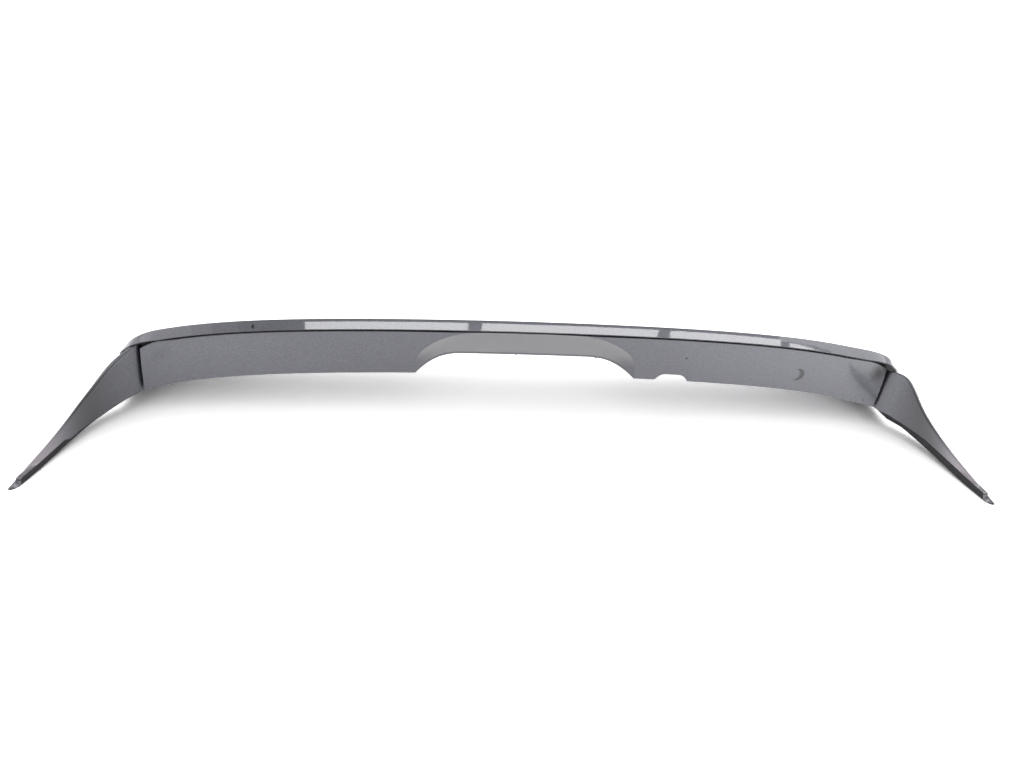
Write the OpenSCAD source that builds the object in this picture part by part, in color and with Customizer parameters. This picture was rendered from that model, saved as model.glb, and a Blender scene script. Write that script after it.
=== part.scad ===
// Tailgate spoiler with side fins, lying on its fin tips and on the front corners of its skin.
// X runs across, Y runs from the fin tips towards the leading edge, Z is up from the floor.
// All lengths are in millimetres.

/* [Overall] */
// How far the fin tips stand out past the seams on each side
tip_out = 100; // [90:1:104]
// How far the skin stands out past the lower shell on each side
skin_over = 35; // [31:1:40]
// Width of the lower shell between the two seams
body_span = 1000; // [980:2:1006]
// Depth from the fin tips to the leading edge
depth = 280; // [272:1:300]

/* [Trailing lip] */
// Distance of the lip edge behind the fin tips, at the middle
lip_y = 170; // [160:1:178]
// Height of the lip edge above the floor, at the middle
lip_z = 149; // [140:1:160]
// How far the lip ends come forward of the middle
lip_sweep = -4; // [-10:1:6]
// Run of the slanting lip face
face_run = 11; // [8:0.5:14]
// Drop of the slanting lip face
face_drop = 8.5; // [6:0.5:11]
// Share of the lip face that is left at the side rims
face_end = 0.55; // [0.4:0.05:0.8]
// Edge rounding of the lip
lip_round = 2.4; // [1:0.2:3]

/* [Curvature across the car] */
// Even bow of the whole wing
bow = 15; // [8:1:22]
// Extra fall towards the ends
end_fall = 20.5; // [12:0.5:26]
// Extra droop of the rounded skin corners
corner_droop = 8; // [2:1:12]
// Width over which a skin corner is rounded
corner_w = 65; // [45:1:80]
// Set-back of the lip at the end of its rounded corner
corner_set = 38; // [20:1:50]

/* [Outer skin] */
// Wall of the moulded skin
skin_wall = 3; // [2.4:0.1:3.6]
// Crown of the skin between lip and leading edge
crown = 6; // [2:0.5:9]
// Height of the leading edge at the middle
lead_z = 56; // [50:1:64]
// Drop of the hem that closes the leading edge
hem_drop = 5; // [4:0.5:8]
// Width over which a front corner is rounded
front_w = 28; // [15:1:40]
// Set-back of the rounded front corners
front_set = 12; // [4:1:18]

/* [Lower shell] */
// Wall of the moulded lower shell
shell_wall = 3; // [2.4:0.1:3.6]
// Overhang of the lip over the band
overhang = 4; // [3:0.5:6]
// Height of the shadow groove under the lip
groove_h = 4; // [3:0.5:6]
// Depth of the shadow groove
groove_d = 4.5; // [4:0.5:7]
// Distance of the band foot behind the fin tips, at the middle
foot_y = 168; // [164:1:174]
// Height of the band foot above the floor, at the middle
foot_z = 68; // [62:1:74]
// How far the foot ends come forward of the middle
foot_sweep = -6; // [-9:1:0]
// Bulge of the band between groove and foot
band_bulge = 1.5; // [0:0.5:3]
// Rounding of the band foot
foot_round = 3; // [2:0.5:4]
// How far the band's top edge turns in at the seams
end_turn = 16; // [8:1:18]
// Drop of the band's top edge at the seams
end_drop = 4.5; // [3:0.5:6]
// Width of the stretch at each end in which the band's upper edge turns inwards
end_w = 65; // [50:5:90]
// Run of the step from the foot up to the base wall
step_run = 9; // [6:0.5:12]
// Rise of the step from the foot up to the base wall
step_rise = 6; // [3:0.5:8]
// Width of the flange that is bonded to the skin at the front
flange_w = 12; // [8:0.5:16]
// Thickness of the stiffening ribs
rib_t = 2.4; // [2:0.2:3]
// Distance of the first stiffening rib from the middle
rib_first = 248; // [244:1:252]
// Spacing of the stiffening ribs
rib_pitch = 100; // [96:1:104]
// Number of stiffening ribs on each side
rib_count = 2; // [1:1:2]

/* [Wiper scoop] */
// Place of the scoop's middle
scoop_x = 8; // [-10:1:20]
// Half width of the scoop at the band foot
scoop_half = 148; // [130:1:160]
// Width of each scoop flank
scoop_flank = 63; // [40:1:80]
// Depth of the scoop at the band foot
scoop_depth = 26; // [15:1:30]
// Rise of the foot inside the scoop
scoop_rise = 15.5; // [8:0.5:20]
// How far the scoop narrows towards the lip
scoop_arch = 60; // [40:1:75]

/* [Notch] */
// Place of the notch's middle
notch_x = 208; // [204:1:240]
// Half width of the notch at the band foot
notch_half = 23; // [18:1:26]
// Width of each notch flank
notch_flank = 13; // [8:1:15]
// Rise of the notch
notch_rise = 9.5; // [5:0.5:12]

/* [Fins] */
// Gap at the seam between lower shell and fin
seam_gap = 3.5; // [2.5:0.5:5]
// Gap between the skin and the top of a fin
fin_gap = 1.6; // [1:0.2:2.5]
// Wall of a fin
fin_wall = 2.6; // [2:0.2:3]
// Width of the fin tip
tip_w = 8; // [6:0.5:10]
// Height of the fin tip
tip_h = 2.5; // [2:0.5:4]
// Rise of a fin's free edge from tip to root
fin_h = 112; // [100:1:120]
// Height of the arch under a fin at the seam
arch_h = 30; // [24:1:36]
// Width of a fin at its base beside the seam
root_w = 34; // [30:1:36]
// Width of the rounded free edge of a fin
edge_w = 3.2; // [2.4:0.2:4]

/* [Fin carriers and strips] */
// Full height of the sealing strip under a fin
strip_h = 8; // [5:0.5:9]
// Width of the sealing strip
strip_w = 7; // [5:0.5:7.5]
// Distance of the sealing strip's end from the fin tip
strip_from = 14; // [10:1:20]
// Distance from the fin tip at which the strip starts to thin out
strip_full = 100; // [80:1:110]
// Distance from the fin tip at which the strip ends
strip_to = 146; // [130:1:150]
// Thickness of the carrier plate inside a fin
carrier_t = 3; // [2:0.5:4]
// Distance of a carrier's end from the fin tip
carrier_from = 58; // [54:1:80]
// Clearance of a carrier inside its fin
carrier_fit = 0.3; // [0.2:0.1:0.5]
// Clearance between parts that are bonded or pressed on
bond_gap = 0.2; // [0.1:0.05:0.3]

/* [Fasteners] */
// Diameter of the mounting studs
stud_d = 6; // [5:1:8]
// Free length of a stud below its collar
stud_len = 18; // [14:1:20]
// Diameter of a stud's collar
collar_d = 16; // [14:1:18]
// Thickness of a stud's collar
collar_t = 2; // [1.5:0.5:3]
// Depth of the bores for studs, pins, clips and screws
bore_depth = 10; // [8:1:12]
// Diameter of the pads round studs and pins
pad_d = 30; // [26:1:32]
// How far a pad stands proud of the base wall
pad_h = 1.5; // [1:0.5:3]
// Distance of the inner studs from the middle
stud_x_in = 195; // [190:5:210]
// Distance of the outer studs from the seams
stud_end = 100; // [85:5:110]
// Distance of the studs and pins from the leading edge
stud_set = 54; // [50:1:58]
// Thickness of a foam gasket round a stud
gasket_t = 5; // [3:0.5:8]
// Diameter of the locating pins
pin_d = 8; // [6:1:10]
// Free length of a locating pin
pin_len = 14; // [10:1:16]
// Distance of the locating pins from the seams
pin_end = 200; // [190:5:215]
// Diameter of the edge clips' shanks
clip_d = 6; // [5:0.5:7]
// Free length of an edge clip
clip_len = 10; // [8:1:11]
// Number of edge clips along the leading edge
clip_count = 5; // [3:2:5]
// Spacing of the edge clips
clip_pitch = 118; // [114:2:124]
// Distance of the edge clips from the leading edge
clip_set = 26; // [24:1:30]
// Diameter of the pads under the edge clips
clip_pad_d = 18; // [16:1:20]
// Diameter of the fin screws' shanks
screw_d = 5; // [4:0.5:5]
// Diameter of the fin screws' heads
screw_head_d = 11; // [9:1:12]
// Distance of the rear fin screws from the leading edge
screw_back = 70; // [64:1:74]
// Spacing of the two screws of a fin
screw_pitch = 32; // [28:1:36]
// Distance of the fin screws from the seam
screw_set = 16; // [14:1:20]
// Thickness of the fin's screw tabs
tab_t = 3; // [2.4:0.2:4]
// Width of the fin's screw tabs
tab_w = 22; // [18:1:26]
// Height of the seal under the leading edge
seal_h = 5; // [3:0.5:6]
// Width of the seal under the leading edge
seal_w = 8; // [6:0.5:10]

/* [Hidden] */
paint = [0.35, 0.355, 0.385];
black = [0.09, 0.09, 0.1];
steel = [0.62, 0.62, 0.6];
foam = [0.16, 0.16, 0.16];
$fn = 48;
rim_out = face_run * face_end;
rim_drop = face_drop * face_end;
skin_half = body_span / 2 + skin_over - rim_out;
body_half = body_span / 2;
tip_half = body_half + tip_out;
fin_x = body_half + seam_gap;
corner_from = skin_half - corner_w;
end_from = body_half - end_w;
stud_y = depth - stud_set;
screw_y = depth - screw_back;
stud_x_out = body_half - stud_end;
pin_x = body_half - pin_end;
front_from = skin_half - front_w;

// Share of the way from one distance to another, held between 0 and 1
function share(v, from, to) = min(1, max(0, (v - from) / (to - from)));
function smooth(t) = t * t * (3 - 2 * t);
// Set-back of a quarter ellipse, from 0 at its start to 1 at its end
function quarter(t) = 1 - sqrt(max(0, 1 - t * t));
// Rise that is steep at first and level at its end
function ease(t) = 1 - (1 - t) * (1 - t);
function mix(a, b, t) = a + (b - a) * t;
// Evenly spaced values from one number to another, both included
function steps(from, to, count) = [for (i = [0:count]) mix(from, to, i / count)];
function mirrored(list) = concat([for (i = [len(list) - 1:-1:0]) if (list[i] > 0) -list[i]], list);
function sorted(list) =
    len(list) < 2 ? list :
    let(p = list[floor(len(list) / 2)])
    concat(sorted([for (v = list) if (v < p) v]), [p], sorted([for (v = list) if (v > p) v]));

// Curvature across the car
function q(x) = pow(x / body_half, 2);
function camber(x) = bow * q(x) + end_fall * pow(q(x), 3);
function corner(x) = share(abs(x), corner_from, skin_half);

// Lip edge and leading edge, each as a distance and a height
function lip_at(x) =
    let(
        t = corner(x), set = corner_set * quarter(t),
        slope = (lip_z - lead_z) / (depth - lip_y)
    )
    [lip_y + lip_sweep * q(x) + set, lip_z - camber(x) - corner_droop * t * t - set * slope];
function fall_share(x) = (q(x) + pow(q(x), 3)) / (q(skin_half) + pow(q(skin_half), 3));
function lead_at(x) = [
    depth - front_set * quarter(share(abs(x), front_from, skin_half)),
    lead_z - (lead_z - hem_drop) * fall_share(x)
];

// Height of the skin's outside and of a surface that lies a set distance under it
function skin_z(x, y) =
    let(a = lip_at(x), b = lead_at(x), t = share(y, a[0], b[0]))
    mix(a[1], b[1], t) + crown * 4 * t * (1 - t);
function under_skin_z(x, y, under) =
    let(
        along = skin_z(x, y + 0.5) - skin_z(x, y - 0.5),
        across = skin_z(x + 0.5, y) - skin_z(x - 0.5, y)
    )
    skin_z(x, y) - under * min(3, norm([1, along, across]));

// Closed polyhedron through stations. Each station has an outer and an inner path with the same
// number of points, and the outer path has the outside on its left when seen from +X.
module loft(outer, inner) {
    n = len(outer[0]);
    m = len(outer);
    c = 2 * n;
    points = [
        for (k = [0:m - 1]) each concat(outer[k], [for (i = [n - 1:-1:0]) inner[k][i]])
    ];
    sides = [
        for (k = [0:m - 2]) for (i = [0:c - 1])
            let(a = k * c + i, b = k * c + (i + 1) % c)
            each [[a, b, b + c], [a, b + c, a + c]]
    ];
    caps = [
        for (i = [0:n - 2])
            let(a = i, b = i + 1, u = c - 1 - i, v = c - 2 - i, last = (m - 1) * c)
            each [[b, a, u], [b, u, v], [last + a, last + b, last + v], [last + a, last + v, last + u]]
    ];
    polyhedron(points = points, faces = concat(sides, caps), convexity = 8);
}

// Outer skin: lip face, crowned top, hem at the front and rolled rims at the sides
face_shares = [1, 0.6, 0.25];
skin_shares = [0.06, 0.2, 0.4, 0.6, 0.8, 1];
corner_shares = [0.2, 0.38, 0.54, 0.68, 0.8, 0.9, 0.97, 1];
rim_shares = [0.35, 0.7, 1];
rim_thin = 0.34;
skin_stations = mirrored(concat(
    steps(0, corner_from, 15),
    [for (t = corner_shares) mix(corner_from, skin_half, t)]
));
function face_size(x) = 1 - (1 - face_end) * corner(x);
function face_turn(x) =
    let(t = min(corner(x), 0.995))
    atan(corner_set / corner_w * t / sqrt(1 - t * t));

// One station of the skin's outside; roll is the share of the side rim that has been turned down
function skin_section(x, roll) =
    let(
        a = lip_at(x), b = lead_at(x), turn = face_turn(x), side = sign(x),
        run = face_run * face_size(x), drop = face_drop * face_size(x),
        out = rim_out * sin(90 * roll), px = x + side * out, down = rim_drop * (1 - cos(90 * roll))
    )
    concat(
        [for (i = [0:2])
            let(s = max(face_shares[i], roll * (1 - 0.12 * i)))
            [x + side * max(run * s * sin(turn), out), a[0] - run * s * cos(turn) + (i + 1) * roll,
                a[1] - max(drop * s, down + 0.3 * (3 - i) * roll)]],
        [[px, a[0] + 0.25 * lip_round + 3 * roll, a[1] + 0.12 * lip_round - down]],
        [for (t = skin_shares)
            [px, mix(a[0], b[0], t) + 4 * roll * (1 - t),
                mix(a[1], b[1], t) + crown * 4 * t * (1 - t)
                - down * min(1, (1 - t) / 0.3 + 0.5)]],
        [[px, b[0] - 0.6, b[1] - hem_drop]]
    );
// The same grid of points moved inwards at right angles to the surface; the wall thins at the rims
function moved_in(grid) =
    let(m = len(grid) - 1, n = len(grid[0]) - 1)
    [for (k = [0:m]) [for (i = [0:n])
        let(
            wall = skin_wall * mix(1, rim_thin, pow(corner(grid[k][n][0]), 3)),
            across = grid[min(k + 1, m)][i] - grid[max(k - 1, 0)][i],
            along = grid[k][min(i + 1, n)] - grid[k][max(i - 1, 0)],
            normal = cross(along, across), p = grid[k][i] + wall * normal / norm(normal)
        )
        [p[0], p[1], max(p[2], 0)]]];

module upper_shell() {
    outer = concat(
        [for (r = [2:-1:0]) skin_section(-skin_half, rim_shares[r])],
        [for (x = skin_stations) skin_section(x, 0)],
        [for (r = rim_shares) skin_section(skin_half, r)]
    );
    color(paint)
        loft(outer, moved_in(outer));
}

// Lower shell: tongue behind the lip, shadow groove, band with scoop and notch, base wall
band_rows = [0.14, 0.38, 0.64, 0.88];
base_shares = [0, 0.5, 1];
flank_count = 6;
scoop_edge_l = scoop_x - scoop_half;
scoop_edge_r = scoop_x + scoop_half;
warp_w = 48;
rib_xs = mirrored([for (i = [0:rib_count - 1]) rib_first + i * rib_pitch]);
rib_ramp = 0.4;
end_bay = 20;
rib_stations = [
    for (x = rib_xs) for (d = [-rib_t / 2 - rib_ramp, -rib_t / 2, rib_t / 2, rib_t / 2 + rib_ramp])
        x + d
];
wall_stations = [body_half - rib_t - rib_ramp, body_half - rib_t, body_half];
feature_stations = concat(
    steps(scoop_edge_l, scoop_edge_l + scoop_flank, flank_count),
    steps(scoop_edge_r - scoop_flank, scoop_edge_r, flank_count),
    steps(notch_x - notch_half, notch_x - notch_half + notch_flank, 3),
    steps(notch_x + notch_half - notch_flank, notch_x + notch_half, 3),
    [for (x = steps(end_from, body_half - 6, 6)) each [-x, x]]
);
plain_stations = [
    for (x = steps(end_bay - body_half, body_half - end_bay, 32))
        if (min([for (v = concat(rib_stations, feature_stations)) abs(v - x)]) > 5) x
];
shell_stations = sorted(concat(
    [for (x = wall_stations) -x], plain_stations, rib_stations, feature_stations, wall_stations
));
function is_wall(x) =
    abs(x) > body_half - rib_t - rib_ramp / 2
    || min([for (r = rib_xs) abs(x - r)]) < (rib_t + rib_ramp) / 2;
function scoop(x) = ease(share(scoop_half - abs(x - scoop_x), 0, scoop_flank));
function notch(x) = ease(share(notch_half - abs(x - notch_x), 0, notch_flank));
// Sideways shift that lets the crease of the scoop arch inwards towards the lip
function arch_shift(x, v) =
    let(u = x - scoop_x, d = abs(u))
    -sign(u) * scoop_arch * pow(1 - v, 3)
    * (d > scoop_half ? 1 - share(d - scoop_half, 0, warp_w) : d / scoop_half);
function rim_foot(x) =
    let(a = lip_at(x)) [a[0] - face_run * face_size(x), a[1] - face_drop * face_size(x)];
function band_top(x) =
    let(t = smooth(share(abs(x), end_from, body_half)))
    [
        lip_y + lip_sweep * q(x) - face_run + overhang + end_turn * t,
        rim_foot(x)[1] - groove_h - end_drop * t
    ];
function foot(x) = [
    foot_y + foot_sweep * q(x) + scoop_depth * scoop(x),
    foot_z - camber(x) + scoop_rise * scoop(x) + notch_rise * notch(x)
];
function base_from(x) = foot(x) + [foot_round + step_run, step_rise];
function base_to(x) = lead_at(x) + [-skin_wall - 2 * bond_gap - 1.6, 1 - hem_drop];
function base_z(x, y) =
    let(a = base_from(x), b = base_to(x))
    mix(a[1], b[1], share(y, a[0], b[0]));
function band_point(x, v) =
    let(a = band_top(x), b = foot(x) + [0, foot_round])
    [
        x + arch_shift(x, v),
        mix(a[0], foot_y + foot_sweep * q(x), v) + scoop_depth * scoop(x) * v
            - band_bulge * 4 * v * (1 - v),
        mix(a[1], b[1], v)
    ];

function shell_outer(x) =
    let(
        a = lip_at(x), t = band_top(x), f = foot(x), s = face_size(x), g = t[0] + groove_d,
        k = base_from(x), e = base_to(x), w = 1.2 * skin_wall + bond_gap,
        lip_0 = [a[0] - 0.3 * face_run * s + w, a[1] - 0.3 * face_drop * s - w / 4],
        lip_1 = [a[0] - 0.55 * face_run * s + w, a[1] - 0.55 * face_drop * s - w / 4],
        d = max(0, g - lip_1[0]), top = lip_1 + [d, -bond_gap - 0.65 * d],
        end = mix(lip_0 - [0, bond_gap], top + [1, -0.4], share(d, 0, 3))
    )
    concat(
        [[x, end[0], end[1]], [x, top[0], top[1]]],
        [[x, g, t[1] + 0.5], [x + arch_shift(x, 0), t[0] + 0.6, t[1]],
            [x + arch_shift(x, 0.02), t[0], t[1] - 0.8]],
        [for (v = band_rows) band_point(x, v)],
        [band_point(x, 1)],
        [[x, f[0] + 0.3 * foot_round, f[1] + 0.3 * foot_round], [x, f[0] + foot_round, f[1]]],
        [for (t = base_shares)
            let(y = mix(k[0], e[0] - flange_w, t))
            [x, y, base_z(x, y)]],
        [[x, e[0], e[1]]]
    );

function shell_inner(x, o) =
    let(
        t = band_top(x), g = max(t[0] + groove_d, o[1][1]), w = shell_wall,
        seat = skin_wall + 3 * bond_gap, k = share(o[0][2] - o[1][2], -0.5, 1.5)
    )
    concat(
        [o[0] + w * mix([0, 0.5, -0.5], [0, 0.75, -0.8], k), o[1] + w * [0, 1, mix(-0.7, -0.35, k)]],
        [[x, g + w, t[1] - 0.3 * w], [x, g + w * 0.8, t[1] - 0.9 * w],
            [x + arch_shift(x, 0.05), max(g + 0.2 * w, t[0] + w), t[1] - 1.4 * w]],
        [for (i = [5:8]) o[i] + [0, w, 0]],
        [o[9] + [0, w, 0.6 * w], o[10] + [0, 0.95 * w, 1.15 * w], o[11] + [0, 0.5 * w, 1.5 * w]],
        [o[12] + [0, -0.2 * w, w], o[13] + [0, 0, w]],
        [for (i = [14:15]) [x, o[i][1], under_skin_z(x, o[i][1], seat)]]
    );

// Points along the underside of the skin, which a rib or an end wall reaches up to
function shell_fill(x, o) =
    let(
        from = max(lip_at(x)[0] + 3.4 * skin_wall, o[2][1] + 3.5 * shell_wall), turn = foot_y + 40,
        ys = concat(steps(from, turn, 6), [for (i = [1:3]) mix(turn, o[14][1], i / 3)], [o[15][1]])
    )
    concat(
        [for (i = [0:4]) shell_inner(x, o)[i]],
        [for (y = ys) [x, y, under_skin_z(x, y, skin_wall + 3 * bond_gap)]]
    );

// Places of the fasteners as [x, y], and the heights of the pads they sit on
function stud_spot(side, outer) = [side * (outer ? stud_x_out : stud_x_in), stud_y];
function pin_spot(side) = [side * pin_x, stud_y];
pin_spots = [for (s = [-1, 1]) each [stud_spot(s, false), stud_spot(s, true), pin_spot(s)]];
clip_spots = [
    for (i = [0:clip_count - 1]) [(i - (clip_count - 1) / 2) * clip_pitch, depth - clip_set]
];
function screw_spots(side) = [
    for (i = [0:1]) [side * (body_half - screw_set), screw_y + i * screw_pitch]
];
function pad_z(p) =
    min([for (s = [-1, 1]) base_z(p[0] + s * pad_d / 2, p[1] + pad_d / 2)]) - pad_h;
function screw_pad_z(p) = base_z(body_half, p[1] + tab_w / 2) - bond_gap;

// Round boss whose lower face, the pad, is at height z
module boss(p, z, d) {
    translate([p[0], p[1], z])
        cylinder(d = d, h = min(
            base_z(p[0], p[1]) - z + bore_depth,
            under_skin_z(p[0], p[1] + d / 2, 1.5 * skin_wall) - z
        ));
}

module bore(p, z, d) {
    translate([p[0], p[1], z - 1])
        cylinder(d = d + bond_gap, h = bore_depth + 1);
}

module lower_shell() {
    outer = [for (x = shell_stations) shell_outer(x)];
    inner = [
        for (k = [0:len(outer) - 1])
            let(x = shell_stations[k])
            is_wall(x) ? shell_fill(x, outer[k]) : shell_inner(x, outer[k])
    ];
    color(paint)
    difference() {
        union() {
            loft(inner, outer);
            for (p = pin_spots) boss(p, pad_z(p), pad_d);
            for (p = clip_spots) boss(p, pad_z(p), clip_pad_d);
            for (side = [-1, 1]) for (p = screw_spots(side)) boss(p, screw_pad_z(p), clip_pad_d);
        }
        for (p = pin_spots) bore(p, pad_z(p), stud_d);
        for (p = clip_spots) bore(p, pad_z(p), clip_d);
        for (side = [-1, 1]) for (p = screw_spots(side)) bore(p, screw_pad_z(p), screw_d);
    }
}

// Right fin. H is the inner base edge, F the free top edge and O the outer base edge.
root_y = foot_y - 1;
fin_end = depth - 24;
free_to = 0.8;
cavity_from = 24;
cavity_full = 50;
strip_ramp = 30;
flank_parts = 5;
fin_rows = concat(
    [0, strip_from / 2, strip_from], steps(strip_from + 9, free_to * root_y, 8),
    steps(0.84 * root_y, 1.1 * root_y, 7), steps(1.15 * root_y, fin_end, 4)
);
function run_u(y) = min(1, y / root_y);
function h_x(y) =
    let(u = run_u(y), from = tip_half - tip_w)
    from - (from - fin_x) * (0.62 * u + 0.38 * pow(u, 4));
function h_z(y) = mix(arch_h * pow(run_u(y), 1.9), 0.4 * arch_h, share(y, root_y, fin_end));
function o_x(y) = mix(h_x(y) + mix(tip_w, root_w, pow(run_u(y), 1.35)), skin_half + 5,
    share(y, root_y, fin_end));
function o_z(y) = mix(h_z(y), 0.1 * arch_h, share(y, root_y, fin_end));
function free_z(u) = tip_h + fin_h * (0.6 * u - 0.35 * u * u + 0.75 * pow(u, 3));
function f_x(y) =
    let(u = run_u(y))
    h_x(y) + (tip_w - 1.2) * pow(1 - u, 3) - 5 * u * (1 - smooth(share(u, 0.7, 1)));
// The free edge levels out smoothly into the part under the skin
function f_z(y) =
    let(from = free_to * root_y, to = root_y + 3, t = share(y, from, to))
    t == 0 ? free_z(run_u(y))
    : mix(free_z(free_to), cover_z(fin_x, to), smooth(t))
        + (free_z(free_to) - free_z(free_to - 1 / root_y)) * (to - from) * t * (1 - t) * (1 - t);
// Height of the fin's top where the skin covers it; it dips under the lip face and the side rim
function cover_z(x, y) =
    let(a = lip_at(x), near = 1 - share(y, a[0], a[0] + 12))
    under_skin_z(x, max(y, a[0] + 0.5), skin_wall + fin_gap * (1 + 1.5 * near))
    - rim_drop * share(x, skin_half - 7, skin_half);
function flank_power(y) = 1.3 + 0.9 * pow(run_u(y), 3);
function edge_of(y) = min(edge_w, (o_x(y) - f_x(y)) * 0.4);
function flank(y, s) =
    let(e = edge_of(y))
    [mix(f_x(y) + e, o_x(y), s), mix(f_z(y) - 0.3 * e, o_z(y), pow(s, flank_power(y)))];
function flank_x(y, z) =
    let(e = edge_of(y), top = f_z(y) - 0.3 * e)
    mix(f_x(y) + e, o_x(y), pow(max(0, top - z) / (top - o_z(y)), 1 / flank_power(y)));
// Share of the flank at which the cavity of the hollow fin starts
function apex_share(y) =
    let(e = edge_of(y))
    min(0.7, max(0, (2 * fin_wall + 0.8 - e) / (o_x(y) - f_x(y) - e)));
function inner_wall_x(y, z) = mix(h_x(y), f_x(y), share(z, h_z(y), f_z(y)));
// Height of the sealing strip, which also lifts the lower edge of the inner wall
function strip_z(y) =
    strip_h * ease(share(y, strip_from, strip_from + strip_ramp)) * (1 - share(y, strip_full, strip_to));

function free_section(y) =
    let(x = h_x(y), z = h_z(y) + strip_z(y), fx = f_x(y), fz = f_z(y), e = edge_of(y))
    concat(
        [[x, y, z], [mix(x, fx, 0.5), y, mix(z, fz, 0.5)], [fx, y, fz - 0.35 * e], [fx + 0.5 * e, y, fz]],
        [for (i = [0:flank_parts]) let(p = flank(y, i / flank_parts)) [p[0], y, p[1]]]
    );
// Inside of the hollow fin; near the tip it is a flat bottom with a thin edge left on each side
function wall_at(y) = min(fin_wall, tip_w / 4 + y / 20);
function open_at(y) = smooth(share(y, cavity_from, cavity_full));
function free_cavity(y) =
    let(
        w = wall_at(y), x = h_x(y) + w, z = h_z(y) + strip_z(y), a = apex_share(y), top = flank(y, a),
        ax = inner_wall_x(y, top[1]) + w, n = flank_parts + 4, to = o_x(y) - w, open = open_at(y),
        full = concat(
            [[x, y, z], [mix(x, ax, 0.5), y, mix(z, top[1], 0.5)], [ax, y, top[1] - 1.6],
                [ax + 0.3, y, top[1] - 1]],
            [for (i = [0:flank_parts - 1])
                let(p = flank(y, mix(a, 1, i / flank_parts)))
                [p[0] - w, y, p[1] - 0.8]],
            [[to, y, o_z(y)]]
        )
    )
    [for (i = [0:n]) mix([mix(x, to, min(1, i / (n - 1))), y, i == n ? o_z(y) : z + 0.1], full[i], open)];
// Section of the fin under the skin, for its outside and, with a wall thickness, for its inside
function covered_section(y, wall) =
    let(x = fin_x + wall, to = skin_half + 1.5 - wall, low = wall * 1.3, c = cover_z(x, y) - low)
    concat(
        [[x, y, h_z(y)], [x, y, mix(h_z(y), c, 0.5)], [x, y, c - 1], [x + 1, y, cover_z(x + 1, y) - low]],
        [for (t = [0.15, 0.45, 0.75, 1]) let(px = mix(x, to, t)) [px, y, cover_z(px, y) - low]],
        [[mix(to, o_x(y) - wall, 0.6), y, mix(cover_z(to, y) - low, o_z(y), 0.5)],
            [o_x(y) - wall, y, o_z(y)]]
    );
function fin_blend(y, a, b) =
    let(t = smooth(share(y, 0.9 * root_y, 1.07 * root_y)))
    [for (i = [0:len(a) - 1]) mix(a[i], b[i], t)];

module fin() {
    color(paint)
    difference() {
        union() {
            loft([for (y = fin_rows) fin_blend(y, free_cavity(y), covered_section(y, fin_wall))],
                [for (y = fin_rows) fin_blend(y, free_section(y), covered_section(y, 0))]);
            for (p = screw_spots(1)) translate([p[0], p[1], screw_pad_z(p) - tab_t]) {
                cylinder(d = tab_w, h = tab_t);
                translate([0, -tab_w / 2, 0])
                    cube([fin_x + 1 - p[0], tab_w, tab_t]);
            }
        }
        for (p = screw_spots(1)) translate([p[0], p[1], screw_pad_z(p) - tab_t - 1])
            cylinder(d = screw_d + 2 * carrier_fit, h = tab_t + 2);
    }
}

// Sealing strip under the inner wall of the right fin
strip_rows = concat(
    [strip_from + 2], [for (y = fin_rows) if (y > strip_from + 3 && y < strip_to - 4) y], [strip_to - 3]
);
// The strip is as wide as the fin's outer wall leaves room for
function strip_width(y) =
    let(t = open_at(y), to = mix(o_x(y), flank_x(y, h_z(y) + strip_z(y)), t))
    min(strip_w, to - wall_at(y) - bond_gap * (3 + 44 * t * (1 - t)) - h_x(y));
module fin_strip() {
    color(black)
        loft(
            [for (y = strip_rows)
                let(x = h_x(y), w = strip_width(y), z = h_z(y), r = 0.25 * strip_z(y))
                [[x, y, z + r], [x + 0.12 * w, y, z], [x + 0.88 * w, y, z], [x + w, y, z + r]]],
            [for (y = strip_rows)
                let(x = h_x(y), w = strip_width(y), top = h_z(y) + strip_z(y) - bond_gap)
                [for (t = [0, 0.2, 0.8, 1]) [x + w * t, y, top]]]
        );
}

// Stiffening plate that lies on the strip inside the right fin
carrier_rows = [for (y = fin_rows) if (y > carrier_from && y < root_y - 6) y];
module fin_carrier() {
    function low(y) = h_z(y) + strip_z(y) + bond_gap / 2;
    function left(y) = max(h_x(y), inner_wall_x(y, low(y) + carrier_t)) + fin_wall + carrier_fit;
    function right(y) = flank_x(y, low(y) + carrier_t + 2) - fin_wall - 3 * carrier_fit;
    color(steel)
        loft(
            [for (y = carrier_rows) [for (x = [left(y), right(y)]) [x, y, low(y)]]],
            [for (y = carrier_rows) [for (x = [left(y), right(y)]) [x, y, low(y) + carrier_t]]]
        );
}

// Mounting stud: root in the bore, collar on the pad, free end pointing down
module stud(p) {
    color(steel)
    translate([p[0], p[1], pad_z(p)]) {
        translate([0, 0, -collar_t])
            cylinder(d = collar_d, h = collar_t);
        translate([0, 0, 1 - stud_len - collar_t])
            cylinder(d = stud_d, h = stud_len + collar_t + bore_depth - 2);
        translate([0, 0, -stud_len - collar_t])
            cylinder(d1 = stud_d - 2, d2 = stud_d, h = 1);
    }
}

module gasket(p) {
    color(foam)
    translate([p[0], p[1], pad_z(p) - gasket_t])
        difference() {
            cylinder(d = pad_d - 2, h = gasket_t);
            translate([0, 0, -1])
                cylinder(d = collar_d + 2 * bond_gap, h = gasket_t + 2);
        }
}

module locating_pin(p) {
    color(black)
    translate([p[0], p[1], pad_z(p)]) {
        translate([0, 0, -1])
            cylinder(d = stud_d, h = bore_depth);
        translate([0, 0, -collar_t])
            cylinder(d = collar_d, h = collar_t);
        translate([0, 0, -pin_len - collar_t + 3])
            cylinder(d = pin_d, h = pin_len - 2);
        translate([0, 0, -pin_len - collar_t])
            cylinder(d1 = pin_d / 2, d2 = pin_d, h = 3);
    }
}

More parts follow.
